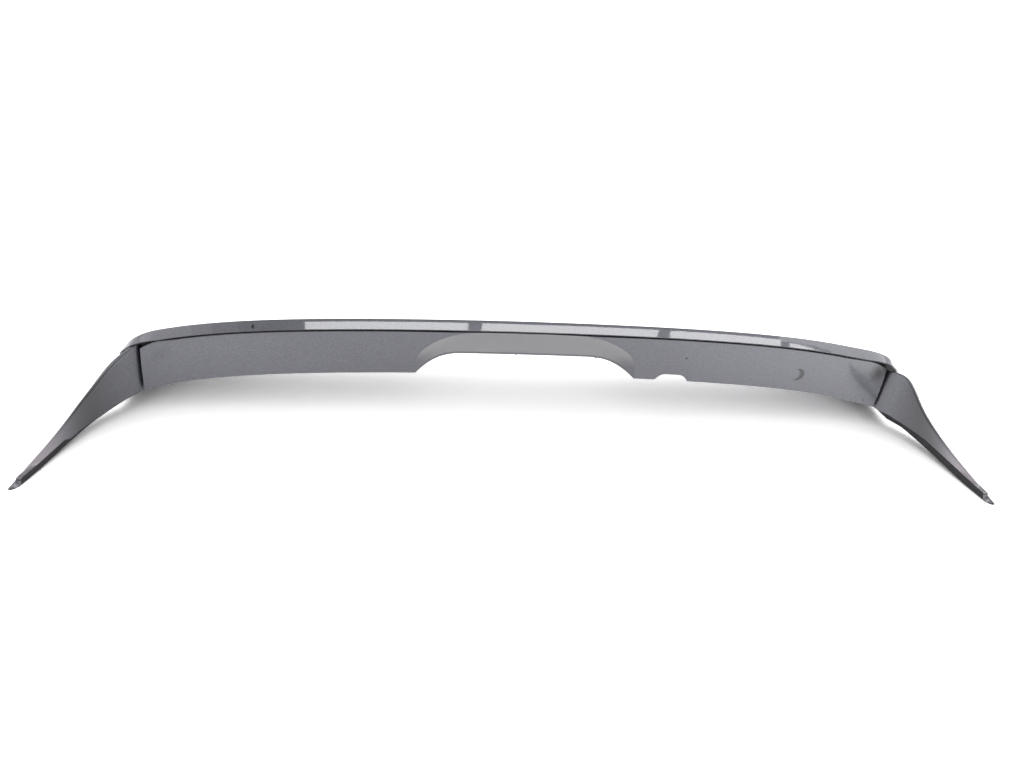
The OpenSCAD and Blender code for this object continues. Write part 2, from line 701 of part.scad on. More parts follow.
module edge_clips() {
    color(foam)
    for (p = clip_spots) translate([p[0], p[1], pad_z(p)]) {
        translate([0, 0, -collar_t])
            cylinder(d = clip_pad_d - 2, h = collar_t);
        translate([0, 0, -clip_len])
            cylinder(d = clip_d, h = clip_len + bore_depth - 1);
        translate([0, 0, -clip_len - collar_t])
            cylinder(d1 = clip_d / 2, d2 = clip_d + 2, h = clip_len / 2);
    }
}

module fin_screws(side) {
    color(steel)
    for (p = screw_spots(side)) translate([p[0], p[1], screw_pad_z(p) - tab_t])
        difference() {
            union() {
                cylinder(d = screw_d, h = tab_t + bore_depth - 1);
                translate([0, 0, -0.7 * screw_d])
                    cylinder(d1 = screw_head_d - 1, d2 = screw_head_d, h = 0.7 * screw_d);
            }
            translate([0, 0, -0.7 * screw_d - 1])
                cylinder(d = 0.8 * screw_d, h = 3, $fn = 6);
        }
}

// Soft seal under the front flange of the lower shell
module leading_edge_seal() {
    rows = sorted(concat(plain_stations, feature_stations));
    function spot(x, t, down) =
        let(y = base_to(x)[0] - 1 - seal_w * (1 - t))
        [x, y, base_z(x, y) - 2 * bond_gap - down];
    color(foam)
        loft(
            [for (x = rows) [for (t = [0, 0.2, 0.8, 1]) spot(x, t, 0)]],
            [for (x = rows) [spot(x, 0, 0.5 * seal_h), spot(x, 0.15, seal_h), spot(x, 0.85, seal_h),
                spot(x, 1, 0.5 * seal_h)]]
        );
}

// Moves a piece so that the origin is under the middle of the spoiler
module placed() {
    translate([0, -depth / 2, 0])
        children();
}

placed() upper_shell();
placed() lower_shell();
placed() mirror([1, 0, 0]) fin();  // left_fin
placed() fin();  // right_fin
placed() mirror([1, 0, 0]) fin_carrier();  // left_fin_carrier
placed() fin_carrier();  // right_fin_carrier
placed() mirror([1, 0, 0]) fin_strip();  // left_fin_strip
placed() fin_strip();  // right_fin_strip
placed() stud(stud_spot(-1, false));  // left_inner_stud
placed() stud(stud_spot(1, false));  // right_inner_stud
placed() stud(stud_spot(-1, true));  // left_outer_stud
placed() stud(stud_spot(1, true));  // right_outer_stud
placed() gasket(stud_spot(-1, false));  // left_inner_gasket
placed() gasket(stud_spot(1, false));  // right_inner_gasket
placed() gasket(stud_spot(-1, true));  // left_outer_gasket
placed() gasket(stud_spot(1, true));  // right_outer_gasket
placed() locating_pin(pin_spot(-1));  // left_locating_pin
placed() locating_pin(pin_spot(1));  // right_locating_pin
placed() leading_edge_seal();
placed() edge_clips();
placed() fin_screws(-1);  // left_fin_screws
placed() fin_screws(1);  // right_fin_screws
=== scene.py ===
"""Dressed model of a painted tailgate spoiler, built round its packed construction model.

The mouldings are lofted again from the curves that set the real part's shape, with close
stations and rounded edges, so that the clearcoat reflects as it does on the real mouldings.
Sizes in the classes are millimetres, and every mesh is written in metres in the frame's axes.
"""
import logging
import math
from abc import ABC, abstractmethod
from collections.abc import Callable, Iterable, Sequence
from dataclasses import dataclass
from enum import Enum
from functools import partial
from typing import Any

import bmesh
import bpy
import numpy as np
from mathutils import Matrix, Vector


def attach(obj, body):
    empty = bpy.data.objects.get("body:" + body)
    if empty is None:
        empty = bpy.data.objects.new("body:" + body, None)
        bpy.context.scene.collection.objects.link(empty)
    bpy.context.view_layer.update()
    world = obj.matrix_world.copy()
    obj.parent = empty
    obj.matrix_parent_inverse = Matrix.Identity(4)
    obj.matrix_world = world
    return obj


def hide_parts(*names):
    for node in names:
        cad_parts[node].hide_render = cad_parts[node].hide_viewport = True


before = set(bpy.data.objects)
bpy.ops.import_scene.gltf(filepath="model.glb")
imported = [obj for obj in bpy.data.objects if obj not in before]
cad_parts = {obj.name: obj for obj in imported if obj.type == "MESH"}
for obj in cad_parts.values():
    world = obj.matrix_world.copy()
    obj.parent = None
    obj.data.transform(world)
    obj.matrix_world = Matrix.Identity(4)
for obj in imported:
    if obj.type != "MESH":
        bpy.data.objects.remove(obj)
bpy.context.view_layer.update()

log = logging.getLogger("spoiler")

# Metres in a millimetre, a length that stands for none, and the distance in metres within
# which points are merged.
MM = 0.001
TINY = 1e-9
MERGE_M = 0.00001
# Setting of a node that maps a range, for slopes that ease at both ends.
SMOOTH = {"interpolation_type": "SMOOTHSTEP"}
Point = np.ndarray
Path = list[Point]
Faces = list[tuple[int, ...]]
Socket = bpy.types.NodeSocket
Adder = Callable[..., Socket]


class Side(Enum):
    """The two ends of the spoiler; the value is the sign of X."""

    LEFT = -1
    RIGHT = 1

    @property
    def word(self) -> str:
        """The side as it is written in names."""
        return self.name.lower()

    @property
    def flip(self) -> np.ndarray:
        """Factors that take points of the right end to this end."""
        return np.array((self.value, 1, 1))


def share(value: float, low: float, high: float) -> float:
    """Share of the way from low to high, held between 0 and 1."""
    return min(1.0, max(0.0, (value - low) / (high - low)))


def smooth(t: float) -> float:
    """Smooth step of a share."""
    return t * t * (3 - 2 * t)


def ease(t: float) -> float:
    """Share that starts at full slope and ends level."""
    return 1 - (1 - t) ** 2


def quarter(t: float) -> float:
    """Quarter circle that starts level and ends upright."""
    return 1 - math.sqrt(max(0.0, 1 - t * t))


def mix(a: Any, b: Any, t: float) -> Any:
    """Value or point at share t between a and b."""
    return a + (b - a) * t


def vec(x: float, y: float, z: float) -> Point:
    """Point in millimetres."""
    return np.array((x, y, z), float)


def bulge(t: float) -> float:
    """Height of an arch that is 1 in the middle and 0 at both ends."""
    return 4 * t * (1 - t)


def curve(start: Point, turn: Point, end: Point, t: float) -> Point:
    """Point at share t of a curve from start to end that bends towards turn."""
    return start * (1 - t) ** 2 + turn * 2 * t * (1 - t) + end * t * t


def fillet(
    points: Sequence[Point], radii: Sequence[float], cuts: int = 5, reach: float = 0.45
) -> Path:
    """Rounds the corners of an open path.

    Args:
        points: Corners of the path.
        radii: Rounding of each corner; 0 keeps the corner as one point.
        cuts: Pieces that each rounded corner is divided into.
        reach: Largest share of an edge that one rounding takes up.

    Returns:
        The path with cuts + 1 points in place of each rounded corner.
    """
    path: Path = []
    for i, p in enumerate(points):
        if radii[i] <= 0 or i in (0, len(points) - 1):
            path.append(p)
            continue
        back, ahead = points[i - 1] - p, points[i + 1] - p
        start, end = (
            p + way * min(radii[i] / max(TINY, np.linalg.norm(way)), reach) for way in (back, ahead)
        )
        path += [curve(start, p, end, k / cuts) for k in range(cuts + 1)]
    return path


@dataclass(frozen=True)
class WingForm:
    """Curves that all the mouldings share. Y runs from the fin tips to the leading edge."""

    tip_span: float = 1200
    skin_span: float = 1070
    body_span: float = 1000
    depth: float = 280
    lip_y: float = 170
    lip_z: float = 149
    lip_sweep: float = -4
    face_run: float = 11
    face_drop: float = 8.5
    face_end: float = 0.55
    lip_round: float = 2.4
    bow: float = 15
    end_fall: float = 20.5
    corner_droop: float = 8
    corner_w: float = 65
    corner_set: float = 38
    skin_wall: float = 3
    crown: float = 6
    lead_z: float = 56
    hem_drop: float = 5
    front_w: float = 28
    front_set: float = 12
    lean: float = 0.094
    lean_from: float = 430
    lean_back: float = 185
    lean_end: float = 275
    lean_free: float = 100
    root_mid: float = 160
    steepest: float = 3

    @property
    def body_half(self) -> float:
        """Half the span of the lower shell."""
        return self.body_span / 2

    @property
    def rim_out(self) -> float:
        """How far the rolled side rims stand out."""
        return self.face_run * self.face_end

    @property
    def rim_drop(self) -> float:
        """How far the rolled side rims drop."""
        return self.face_drop * self.face_end

    @property
    def skin_half(self) -> float:
        """Half the span of the skin without its rims."""
        return self.skin_span / 2 - self.rim_out

    def out_share(self, x: float) -> float:
        """Square of the share of the half span, which the bow follows."""
        return (abs(x) / self.body_half) ** 2

    def camber(self, x: float) -> float:
        """How far the wing has dropped at x."""
        q = self.out_share(x)
        return self.bow * q + self.end_fall * q**3

    def corner(self, x: float) -> float:
        """Share of the way round the rear corner at x."""
        return share(abs(x), self.skin_half - self.corner_w, self.skin_half)

    def lip_at(self, x: float) -> tuple[float, float]:
        """Distance and height of the trailing lip's edge at x.

        Args:
            x: Distance from the middle.

        Returns:
            Distance along Y and height.
        """
        t = self.corner(x)
        inset = self.corner_set * quarter(t)
        slope = (self.lip_z - self.lead_z) / (self.depth - self.lip_y)
        return (
            self.lip_y + self.lip_sweep * self.out_share(x) + inset,
            self.lip_z - self.camber(x) - self.corner_droop * t * t - inset * slope,
        )

    def lead_at(self, x: float) -> tuple[float, float]:
        """Distance and height of the leading edge at x.

        Args:
            x: Distance from the middle.

        Returns:
            Distance along Y and height.
        """
        q, end = self.out_share(x), self.out_share(self.skin_half)
        inset = quarter(share(abs(x), self.skin_half - self.front_w, self.skin_half))
        return (
            self.depth - self.front_set * inset,
            self.lead_z - (self.lead_z - self.hem_drop) * (q + q**3) / (end + end**3),
        )

    def skin_z(self, x: float, y: float) -> float:
        """Height of the skin's outside.

        Args:
            x: Distance from the middle.
            y: Distance from the tips.

        Returns:
            Height.
        """
        a, b = self.lip_at(x), self.lead_at(x)
        t = share(y, a[0], b[0])
        return mix(a[1], b[1], t) + self.crown * bulge(t)

    def under_skin_z(self, x: float, y: float, under: float) -> float:
        """Height of the surface that lies a set distance under the skin.

        Args:
            x: Distance from the middle.
            y: Distance from the tips.
            under: Distance under the skin, at right angles to it.

        Returns:
            Height.
        """
        along = self.skin_z(x, y + 0.5) - self.skin_z(x, y - 0.5)
        across = self.skin_z(x + 0.5, y) - self.skin_z(x - 0.5, y)
        return self.skin_z(x, y) - under * min(self.steepest, math.hypot(1, along, across))

    def face_size(self, x: float) -> float:
        """Size of the lip face at x, as a share of its size in the middle."""
        return 1 - (1 - self.face_end) * self.corner(x)

    def lean_at(self, y: float, z: float) -> float:
        """How far the ends lean to the right at a distance and height.

        Args:
            y: Distance from the tips.
            z: Height.

        Returns:
            Distance by which the place is moved along X.
        """
        rear = 1 - smooth(share(y, self.lean_back, self.lean_end))
        return self.lean * max(0.0, z) * rear * smooth(share(y, self.lean_free, self.root_mid))

    def leaned(self, grid: np.ndarray, sides: Sequence[int]) -> np.ndarray:
        """Leans the ends of a moulding to the right, as on the photographed part.

        Args:
            grid: Points in millimetres, as stations by points by 3.
            sides: Signs of X of the ends that lean.

        Returns:
            The moved points.
        """
        moved = grid.copy()
        for row in moved:
            for p in row:
                if math.copysign(1, p[0]) in sides:
                    part = smooth(share(abs(p[0]), self.lean_from, self.body_half))
                    p[0] += part * self.lean_at(max(p[1], self.root_mid), p[2])
        return moved

    def place(self, points: np.ndarray) -> np.ndarray:
        """Points in metres in the frame's axes, from points in millimetres."""
        return (points - vec(0, self.depth / 2, 0)) * MM


def loft_mesh(
    name: str, outer: np.ndarray, inner: np.ndarray, form: WingForm, shade_points: int = 0, painted: int = 0
) -> bpy.types.Object:
    """Makes a closed wall between an outer and an inner grid of points.

    The inside is unpainted plastic, and the first points of each outside section get the same dark, as
    painted shade.

    Args:
        name: Name of the new piece.
        outer: Points of the outside, as stations by points by 3, in millimetres.
        inner: Points of the inside, in the same order.
        form: The curves, which place the points in the frame.
        shade_points: Number of points at the start of each outside section that get the unpainted dark as
            painted shade.
        painted: Number of stations at the start whose inside is painted too.

    Returns:
        The piece, with smooth faces that point outwards.
    """
    count, n = outer.shape[:2]
    ring = np.concatenate([outer, inner[:, ::-1]], axis=1)
    c = 2 * n
    faces = [
        (k * c + i, k * c + (i + 1) % c, (k + 1) * c + (i + 1) % c, (k + 1) * c + i)
        for k in range(count - 1) for i in range(c)
    ]
    last = (count - 1) * c
    for i in range(n - 1):
        faces.append((i, c - 1 - i, c - 2 - i, i + 1))
        faces.append((last + i, last + i + 1, last + c - 2 - i, last + c - 1 - i))
    bare = np.zeros((count, c))
    # Unpainted inside, and painted shade on the first outside points.
    bare[painted:, n:] = bare[:, :shade_points] = 1
    return mesh_piece(name, form.place(ring.reshape(-1, 3)), faces, bare=bare)


def mesh_piece(
    name: str, points: np.ndarray, faces: Iterable[Sequence[int]], sharp_deg: float = 38,
    bare: np.ndarray | None = None,
) -> bpy.types.Object:
    """Makes an object from points in metres and faces, with outward smooth normals.

    Args:
        name: Name of the object and its mesh.
        points: Corner points in metres.
        faces: Corner numbers of each face.
        sharp_deg: Angle above which an edge is shaded as a crease.
        bare: 1 for each point of unpainted plastic or of painted shade, which the paint reads as an
            attribute.

    Returns:
        The linked object.
    """
    mesh = bpy.data.meshes.new(name)
    mesh.from_pydata([tuple(p) for p in points], [], [tuple(f) for f in faces])
    if bare is not None:
        mesh.attributes.new("bare", "FLOAT", "POINT").data.foreach_set("value", bare.ravel())
    mesh.validate()
    outward(mesh)
    shade(mesh, sharp_deg)
    piece = bpy.data.objects.new(name, mesh)
    bpy.context.scene.collection.objects.link(piece)
    return piece


def shade(mesh: bpy.types.Mesh, sharp_deg: float) -> None:
    """Shades a mesh smoothly, with a crease at each edge above an angle."""
    mesh.shade_smooth()
    mesh.set_sharp_from_angle(angle=math.radians(sharp_deg))


def outward(mesh: bpy.types.Mesh) -> None:
    """Merges doubled points and turns the faces of a closed mesh outwards.

    Args:
        mesh: The mesh, which is changed in place.
    """
    work = bmesh.new()
    work.from_mesh(mesh)
    bmesh.ops.remove_doubles(work, verts=work.verts, dist=MERGE_M)
    bmesh.ops.recalc_face_normals(work, faces=work.faces)
    work.to_mesh(mesh)
    work.free()


def linear(hex_colour: str) -> tuple[float, float, float, float]:
    """Turns an sRGB hex colour into a linear colour.

    Args:
        hex_colour: Colour such as "#5a5b64".

    Returns:
        Red, green, blue and alpha, linear.
    """
    channels = [int(hex_colour[i:i + 2], 16) / 255 for i in (1, 3, 5)]
    lin = [c / 12.92 if c <= 0.04045 else ((c + 0.055) / 1.055) ** 2.4 for c in channels]
    return (lin[0], lin[1], lin[2], 1.0)


def add_node(
    tree: bpy.types.NodeTree, kind: str, inputs: dict[str | int, Any] | Sequence[Any] = (),
    out: int | str = 0, **settings: Any
) -> Socket | None:
    """Adds a node with its settings, input values and links.

    Args:
        tree: Node tree that gets the node.
        kind: Blender's type name of the node.
        inputs: Value or linked socket for each input, in order, or by name or number.
        out: Output that is wanted, by number or name.
        **settings: Attributes of the node.

    Returns:
        The wanted output, or None from a node without outputs.
    """
    node = tree.nodes.new(kind)
    for key, value in settings.items():
        setattr(node, key, value)
    for key, value in (inputs if isinstance(inputs, dict) else dict(enumerate(inputs))).items():
        if isinstance(value, Socket):
            tree.links.new(value, node.inputs[key])
        else:
            node.inputs[key].default_value = value
    return node.outputs[out] if node.outputs else None


def new_material(name: str) -> tuple[bpy.types.Material, Adder]:
    """Makes an empty material and returns it with the function that adds its nodes.

    Args:
        name: Name of the material.

    Returns:
        The material and the function that adds a node to it.
    """
    material = bpy.data.materials.new(name)
    material.use_nodes = True
    material.node_tree.nodes.clear()
    return material, partial(add_node, material.node_tree)


@dataclass(frozen=True)
class Mark:
    """Round or crescent mark on the band, or a soft disc of painted shade there, in the plane of X and Z, in
    millimetres.
    """

    x: float
    z: float
    radius: float
    bite: float = 0
    soft: float = 0.7
    bite_soft: float = 2.4
    amount: float = 1

    def mask(self, add: Adder, flat: Socket) -> Socket:
        """Adds the nodes of the mark's mask and returns its socket.

        Args:
            add: Function that adds a node.
            flat: Coordinates without Y.

        Returns:
            Socket of the mask.
        """
        disc = self.disc(add, flat, self.x, self.soft, self.amount)
        if self.bite == 0:
            return disc
        hole = self.disc(add, flat, self.x - self.bite, self.bite_soft, 1)
        rest = add("ShaderNodeMath", (1.0, hole), operation="SUBTRACT")
        return add("ShaderNodeMath", (disc, rest), operation="MULTIPLY")

    def disc(self, add: Adder, flat: Socket, x: float, soft: float, amount: float) -> Socket:
        """Adds the nodes of a soft disc and returns its socket.

        Args:
            add: Function that adds a node.
            flat: Coordinates without Y.
            x: Middle of the disc.
            soft: Half the width of its blurred edge.
            amount: Value inside it.

        Returns:
            Socket of the disc.
        """
        centre = (x * MM, 0, self.z * MM)
        distance = add("ShaderNodeVectorMath", (flat, centre), 1, operation="DISTANCE")
        edges = (self.radius + soft) * MM, (self.radius - soft) * MM
        return add("ShaderNodeMapRange", (distance, *edges, 0, amount), **SMOOTH)


@dataclass(frozen=True)
class Zone:
    """Stretch along Y in millimetres that is tinted as a painted reflection, most strongly at its middle."""

    low: float
    mid: float
    high: float
    tone: str
    amount: float


@dataclass(frozen=True)
class Chip:
    """Small pale spot of painted highlight, at a place in millimetres."""

    x: float
    y: float
    z: float
    radius: float


@dataclass(frozen=True)
class MetallicPaint:
    """Car paint on moulded plastic: sprayed metallic base coat under a glossy clearcoat."""

    # The eye gets a dark grey with a fine grain of flakes and a slow cloudiness, and over it the
    # clearcoat's reflection with a slight orange peel. Faces that look down are painted paler, a
    # painted reflection of the bright floor, and stretches along the fins are painted lighter and
    # darker as painted reflections. Handling has left pale dust and a few dark scuffs; a soft dark
    # disc drawn in the scuffs' colour is painted shade, and small pale spots are painted highlights.
    # Where no paint reaches, the moulding stays unpainted black plastic without a coat, and the
    # shadow groove under the lip gets that dark too, as painted shade.
    # Flakes and dust are drawn coarser than real: flakes of under 0.1 mm at about 1 mm, and
    # grains of about 0.2 mm at about 1 mm, because smaller ones would only make noise.

    name: str = "metallic_paint_clearcoat"
    base: str = "#5d5e66"
    dust: str = "#a5a6a8"
    # Colour of the scuffs, which also colours the soft disc of painted shade.
    scuff: str = "#141418"
    # Colour of the painted highlights.
    chip: str = "#e4e2e0"
    plastic: str = "#1c1c1f"
    # Colour of the painted reflection of the bright floor on faces that look down; empty for none.
    primer: str = ""
    metallic: float = 0.45
    roughness: float = 0.42
    plastic_roughness: float = 0.6
    coat_roughness: float = 0.03
    flake_mm: float = 1.1
    flake_depth: float = 0.14
    peel_mm: float = 6
    peel_depth_mm: float = 0.4
    peel_strength: float = 0.02
    haze_mm: float = 140
    haze_range: tuple[float, float] = (0.3, 0.7)
    haze_depth: float = 0.05
    haze_roughness: float = 0.03
    dust_mm: float = 9
    dust_range: tuple[float, float] = (0.07, 0.03)
    dust_amount: float = 0.55
    # Slope of the normal over which faces that look down are painted paler, and how strongly.
    primer_range: tuple[float, float] = (-0.2, -0.5)
    primer_amount: float = 0.8
    marks_end_mm: tuple[float, float] = (45, 38)
    marks: tuple[Mark, ...] = ()
    # Stretches of painted reflection along Y.
    zones: tuple[Zone, ...] = ()
    # Spots of painted highlight.
    chips: tuple[Chip, ...] = ()

    def material(self) -> bpy.types.Material:
        """Makes the paint.

        Returns:
            The material.
        """
        material, add = new_material(self.name)
        coords = add("ShaderNodeTexCoord", out="Object")
        haze = add("ShaderNodeTexNoise", {"Vector": coords, "Scale": 1 / (self.haze_mm * MM), "Detail": 3})
        # Unpainted plastic, and the same dark painted over the shadow groove as painted shade.
        bare = add("ShaderNodeAttribute", out="Fac", attribute_name="bare")
        colour = self.base_coat(add, coords, haze)
        for mask, tone in [*self.wear(add, coords), (bare, self.plastic)]:
            colour = add("ShaderNodeMix", {0: mask, 6: colour, 7: linear(tone)}, 2, data_type="RGBA")
        ends = self.roughness - self.haze_roughness, self.roughness + self.haze_roughness
        rough = add("ShaderNodeMapRange", (haze, *self.haze_range, *ends), **SMOOTH)
        dull = add("ShaderNodeMath", (bare, self.plastic_roughness), operation="MULTIPLY")
        peel = add("ShaderNodeTexNoise", {"Vector": coords, "Scale": 1 / (self.peel_mm * MM), "Detail": 1})
        surface = add("ShaderNodeBsdfPrincipled", {
            "Base Color": colour,
            "Metallic": self.metallic,
            "Roughness": add("ShaderNodeMath", (rough, dull), operation="MAXIMUM"),
            "Coat Weight": add("ShaderNodeMath", (1.0, bare), operation="SUBTRACT"),
            "Coat Roughness": self.coat_roughness,
            "Coat Normal": add("ShaderNodeBump", {
                "Strength": self.peel_strength, "Distance": self.peel_depth_mm * MM, "Height": peel}),
        })
        add("ShaderNodeOutputMaterial", (surface,))
        return material

    def base_coat(self, add: Adder, coords: Socket, haze: Socket) -> Socket:
        """Adds the flaked and slightly cloudy base coat and returns its colour.

        Args:
            add: Function that adds a node.
            coords: Object coordinates.
            haze: Slow noise, which clouds the colour.

        Returns:
            Socket of the colour.
        """
        cells = add("ShaderNodeTexVoronoi", {"Vector": coords, "Scale": 1 / (self.flake_mm * MM)}, 1)
        flake = add("ShaderNodeSeparateColor", (cells,))
        rows = (flake, 0, 1, self.flake_depth), (haze, *self.haze_range, self.haze_depth)
        shades = [
            add("ShaderNodeMapRange", (value, low, high, 1 - depth, 1 + depth), **SMOOTH)
            for value, low, high, depth in rows
        ]
        shade = add("ShaderNodeMath", shades, operation="MULTIPLY")
        grey = add("ShaderNodeCombineColor", (shade, shade, shade))
        return add("ShaderNodeMix", {0: 1.0, 6: linear(self.base), 7: grey}, 2,
                   data_type="RGBA", blend_type="MULTIPLY")

    def wear(self, add: Adder, coords: Socket) -> list[tuple[Socket, str]]:
        """Adds the masks of the painted floor reflection, the painted reflection stretches, dust, scuffs with
        discs of painted shade, and painted highlights.

        Args:
            add: Function that adds a node.
            coords: Object coordinates.

        Returns:
            A mask and a colour for each layer, from the lowest up.
        """
        layers = []
        y = add("ShaderNodeSeparateXYZ", (coords,), 1)
        # Painted reflection: faces that look down are painted paler, as if mirroring the bright floor.
        if self.primer:
            normal = add("ShaderNodeNewGeometry", out="Normal")
            up = add("ShaderNodeSeparateXYZ", (normal,), 2)
            down = add("ShaderNodeMapRange", (up, *self.primer_range, 0, self.primer_amount), **SMOOTH)
            layers.append((down, self.primer))
        # Painted reflections: stretches along Y tinted lighter and darker.
        for zone in self.zones:
            slopes = [
                add("ShaderNodeMapRange", (y, end * MM, zone.mid * MM, 0, 1), **SMOOTH)
                for end in (zone.low, zone.high)
            ]
            part = add("ShaderNodeMath", slopes, operation="MULTIPLY")
            layers.append((add("ShaderNodeMath", (part, zone.amount), operation="MULTIPLY"), zone.tone))
        specks = add("ShaderNodeTexVoronoi", {"Vector": coords, "Scale": 1 / (self.dust_mm * MM)})
        speck = add("ShaderNodeMapRange", (specks, *self.dust_range, 0, self.dust_amount), **SMOOTH)
        layers.append((speck, self.dust))
        # Scuffs and real specks, and discs of painted shade.
        if self.marks:
            layers.append((self.mark_mask(add, coords, y), self.scuff))
        # Painted highlights: small pale spots.
        for chip in self.chips:
            centre, radius = (chip.x * MM, chip.y * MM, chip.z * MM), chip.radius * MM
            far = add("ShaderNodeVectorMath", (coords, centre), 1, operation="DISTANCE")
            layers.append((add("ShaderNodeMapRange", (far, radius, radius / 2, 0, 1), **SMOOTH), self.chip))
        return layers

    def mark_mask(self, add: Adder, coords: Socket, y: Socket) -> Socket:
        """Adds the nodes of every mark and disc of painted shade, on the band's side only, and returns their
        socket.

        Args:
            add: Function that adds a node.
            coords: Object coordinates.
            y: Their Y.

        Returns:
            Socket of the mask.
        """
        flat = add("ShaderNodeVectorMath", (coords, (1, 0, 1)), operation="MULTIPLY")
        mask: Socket | float = 0.0
        for mark in self.marks:
            mask = add("ShaderNodeMath", (mask, mark.mask(add, flat)), operation="MAXIMUM")
        ends = [end * MM for end in self.marks_end_mm]
        side = add("ShaderNodeMapRange", (y, *ends, 0, 1), **SMOOTH)
        return add("ShaderNodeMath", (mask, side), operation="MULTIPLY")


@dataclass(frozen=True)
class GrainFinish:
    """Plain finish of one colour with a fine grain, as moulded, foamed or plated."""

    # The eye gets a surface whose grain breaks up the reflections, with slow patches of wear
    # that keep its colour from being flat.

    name: str
    base: str
    worn: str
    roughness: float
    grain_mm: float
    depth_mm: float
    metallic: float = 0
    cells: bool = False
    wear_mm: float = 25
    wear_range: tuple[float, float] = (0.4, 0.7)
    wear_amount: float = 0.6
    grain_strength: float = 0.6
    spread: float = 0.06

    def material(self) -> bpy.types.Material:
        """Makes the finish.

        Returns:
            The material.
        """
        material, add = new_material(self.name)
        coords = add("ShaderNodeTexCoord", out="Object")
        kind = "ShaderNodeTexVoronoi" if self.cells else "ShaderNodeTexNoise"
        grain = add(kind, {"Vector": coords, "Scale": 1 / (self.grain_mm * MM)})
        wear = add("ShaderNodeTexNoise", {"Vector": coords, "Scale": 1 / (self.wear_mm * MM), "Detail": 4})
        amount = add("ShaderNodeMapRange", (wear, *self.wear_range, 0, self.wear_amount), **SMOOTH)
        ends = self.roughness - self.spread, min(1.0, self.roughness + self.spread)
        surface = add("ShaderNodeBsdfPrincipled", {
            "Base Color": add("ShaderNodeMix", {
                0: amount, 6: linear(self.base), 7: linear(self.worn)}, 2, data_type="RGBA"),
            "Metallic": self.metallic,
            "Roughness": add("ShaderNodeMapRange", (grain, 0, 1, *ends), **SMOOTH),
            "Normal": add("ShaderNodeBump", {
                "Strength": self.grain_strength, "Distance": self.depth_mm * MM, "Height": grain}),
        })
        add("ShaderNodeOutputMaterial", (surface,))
        return material


@dataclass(frozen=True)
class CellularRubber(GrainFinish):
    """Cellular rubber, extruded, of the sealing strips under the fins."""

    # The eye gets a nearly black and dull strip with small pores, soft beside the glossy paint.
    # Pores of about 0.3 mm are drawn coarser, at 1.2 mm.

    name: str = "cellular_rubber_strip"
    base: str = "#1d1c1f"
    worn: str = "#333236"
    roughness: float = 0.8
    grain_mm: float = 1.2
    depth_mm: float = 0.12


@dataclass(frozen=True)
class ClosedCellFoam(GrainFinish):
    """Closed-cell foam, cut from sheet, of the gaskets and the seal."""

    # The eye gets a black face without any gloss, broken up by open cells at the cut.
    # Cells of about 0.4 mm are drawn coarser, at 0.9 mm.

    name: str = "closed_cell_foam"
    base: str = "#1b1b1d"
    worn: str = "#2b2b2d"
    roughness: float = 0.9
    grain_mm: float = 0.9
    depth_mm: float = 0.2
    cells: bool = True


@dataclass(frozen=True)
class MouldedNylon(GrainFinish):
    """Black nylon, moulded in a spark-eroded tool, of the pins and the carriers."""

    # The eye gets an even satin black with a faint grain.
    # A grain of about 0.2 mm is drawn coarser, at 0.6 mm.

    name: str = "moulded_black_nylon"
    base: str = "#1f1f21"
    worn: str = "#2e2e30"
    roughness: float = 0.5
    grain_mm: float = 0.6
    depth_mm: float = 0.02


@dataclass(frozen=True)
class NaturalAcetal(GrainFinish):
    """Uncoloured acetal, moulded, of the push-in clips."""

    # The eye gets a waxy off-white with a soft gloss, a little yellowed in places.

    name: str = "natural_acetal"
    base: str = "#d8d4c6"
    worn: str = "#c4bea9"
    roughness: float = 0.38
    grain_mm: float = 0.8
    depth_mm: float = 0.01


@dataclass(frozen=True)
class ZincPlatedSteel(GrainFinish):
    """Steel, cold-headed and zinc plated, of the studs and the screws."""

    # The eye gets a bright grey metal with a blurred reflection and duller patches.
    # Crystals of about 0.1 mm are drawn coarser, at 0.5 mm.

    name: str = "zinc_plated_steel"
    base: str = "#b8b7ae"
    worn: str = "#9d9c94"
    roughness: float = 0.32
    grain_mm: float = 0.5
    depth_mm: float = 0.01
    metallic: float = 1


class Finishes:
    """All materials of the spoiler, made once."""

    band_marks: tuple[Mark, ...] = (
        Mark(221.5, 104.7, 1.6), Mark(485.5, 44.3, 1.2), Mark(378.4, 84.5, 10, 6.4, bite_soft=1.8),
        # Painted shade: this soft dark disc at the band's right end by the seam; the marks before it are real
        # specks and a crescent scuff.
        Mark(497, 88, 10, soft=9, amount=0.85),
    )
    skin_marks: tuple[Mark, ...] = (Mark(-342.6, 134.9, 1.8),)
    # Painted reflections: the fins' tips painted lighter and their middles darker.
    fin_zones: tuple[Zone, ...] = (
        Zone(-150, -104, -34, "#a89fa6", 0.6), Zone(-80, -28, 16, "#26252b", 0.88),
    )
    # Painted highlight: a small pale spot where the right sealing strip starts.
    fin_chips: tuple[Chip, ...] = (Chip(536, 23, 10, 2.6),)

    def __init__(self) -> None:
        """Makes the materials."""
        # The band's faces that look down are painted paler, a painted reflection of the bright floor.
        self.band = MetallicPaint(
            "band_paint_clearcoat", coat_roughness=0.16, marks=self.band_marks, primer="#8b8a8c"
        ).material()
        # The fins' base colour is the band's paint made darker, as painted shade.
        self.fin = MetallicPaint(
            "fin_paint_clearcoat", base="#54555c", coat_roughness=0.2, zones=self.fin_zones,
            chips=self.fin_chips,
        ).material()
        self.skin = MetallicPaint("skin_paint_clearcoat", marks=self.skin_marks).material()
        self.rubber = CellularRubber().material()
        self.foam = ClosedCellFoam().material()
        self.nylon = MouldedNylon().material()
        self.acetal = NaturalAcetal().material()
        self.zinc = ZincPlatedSteel().material()


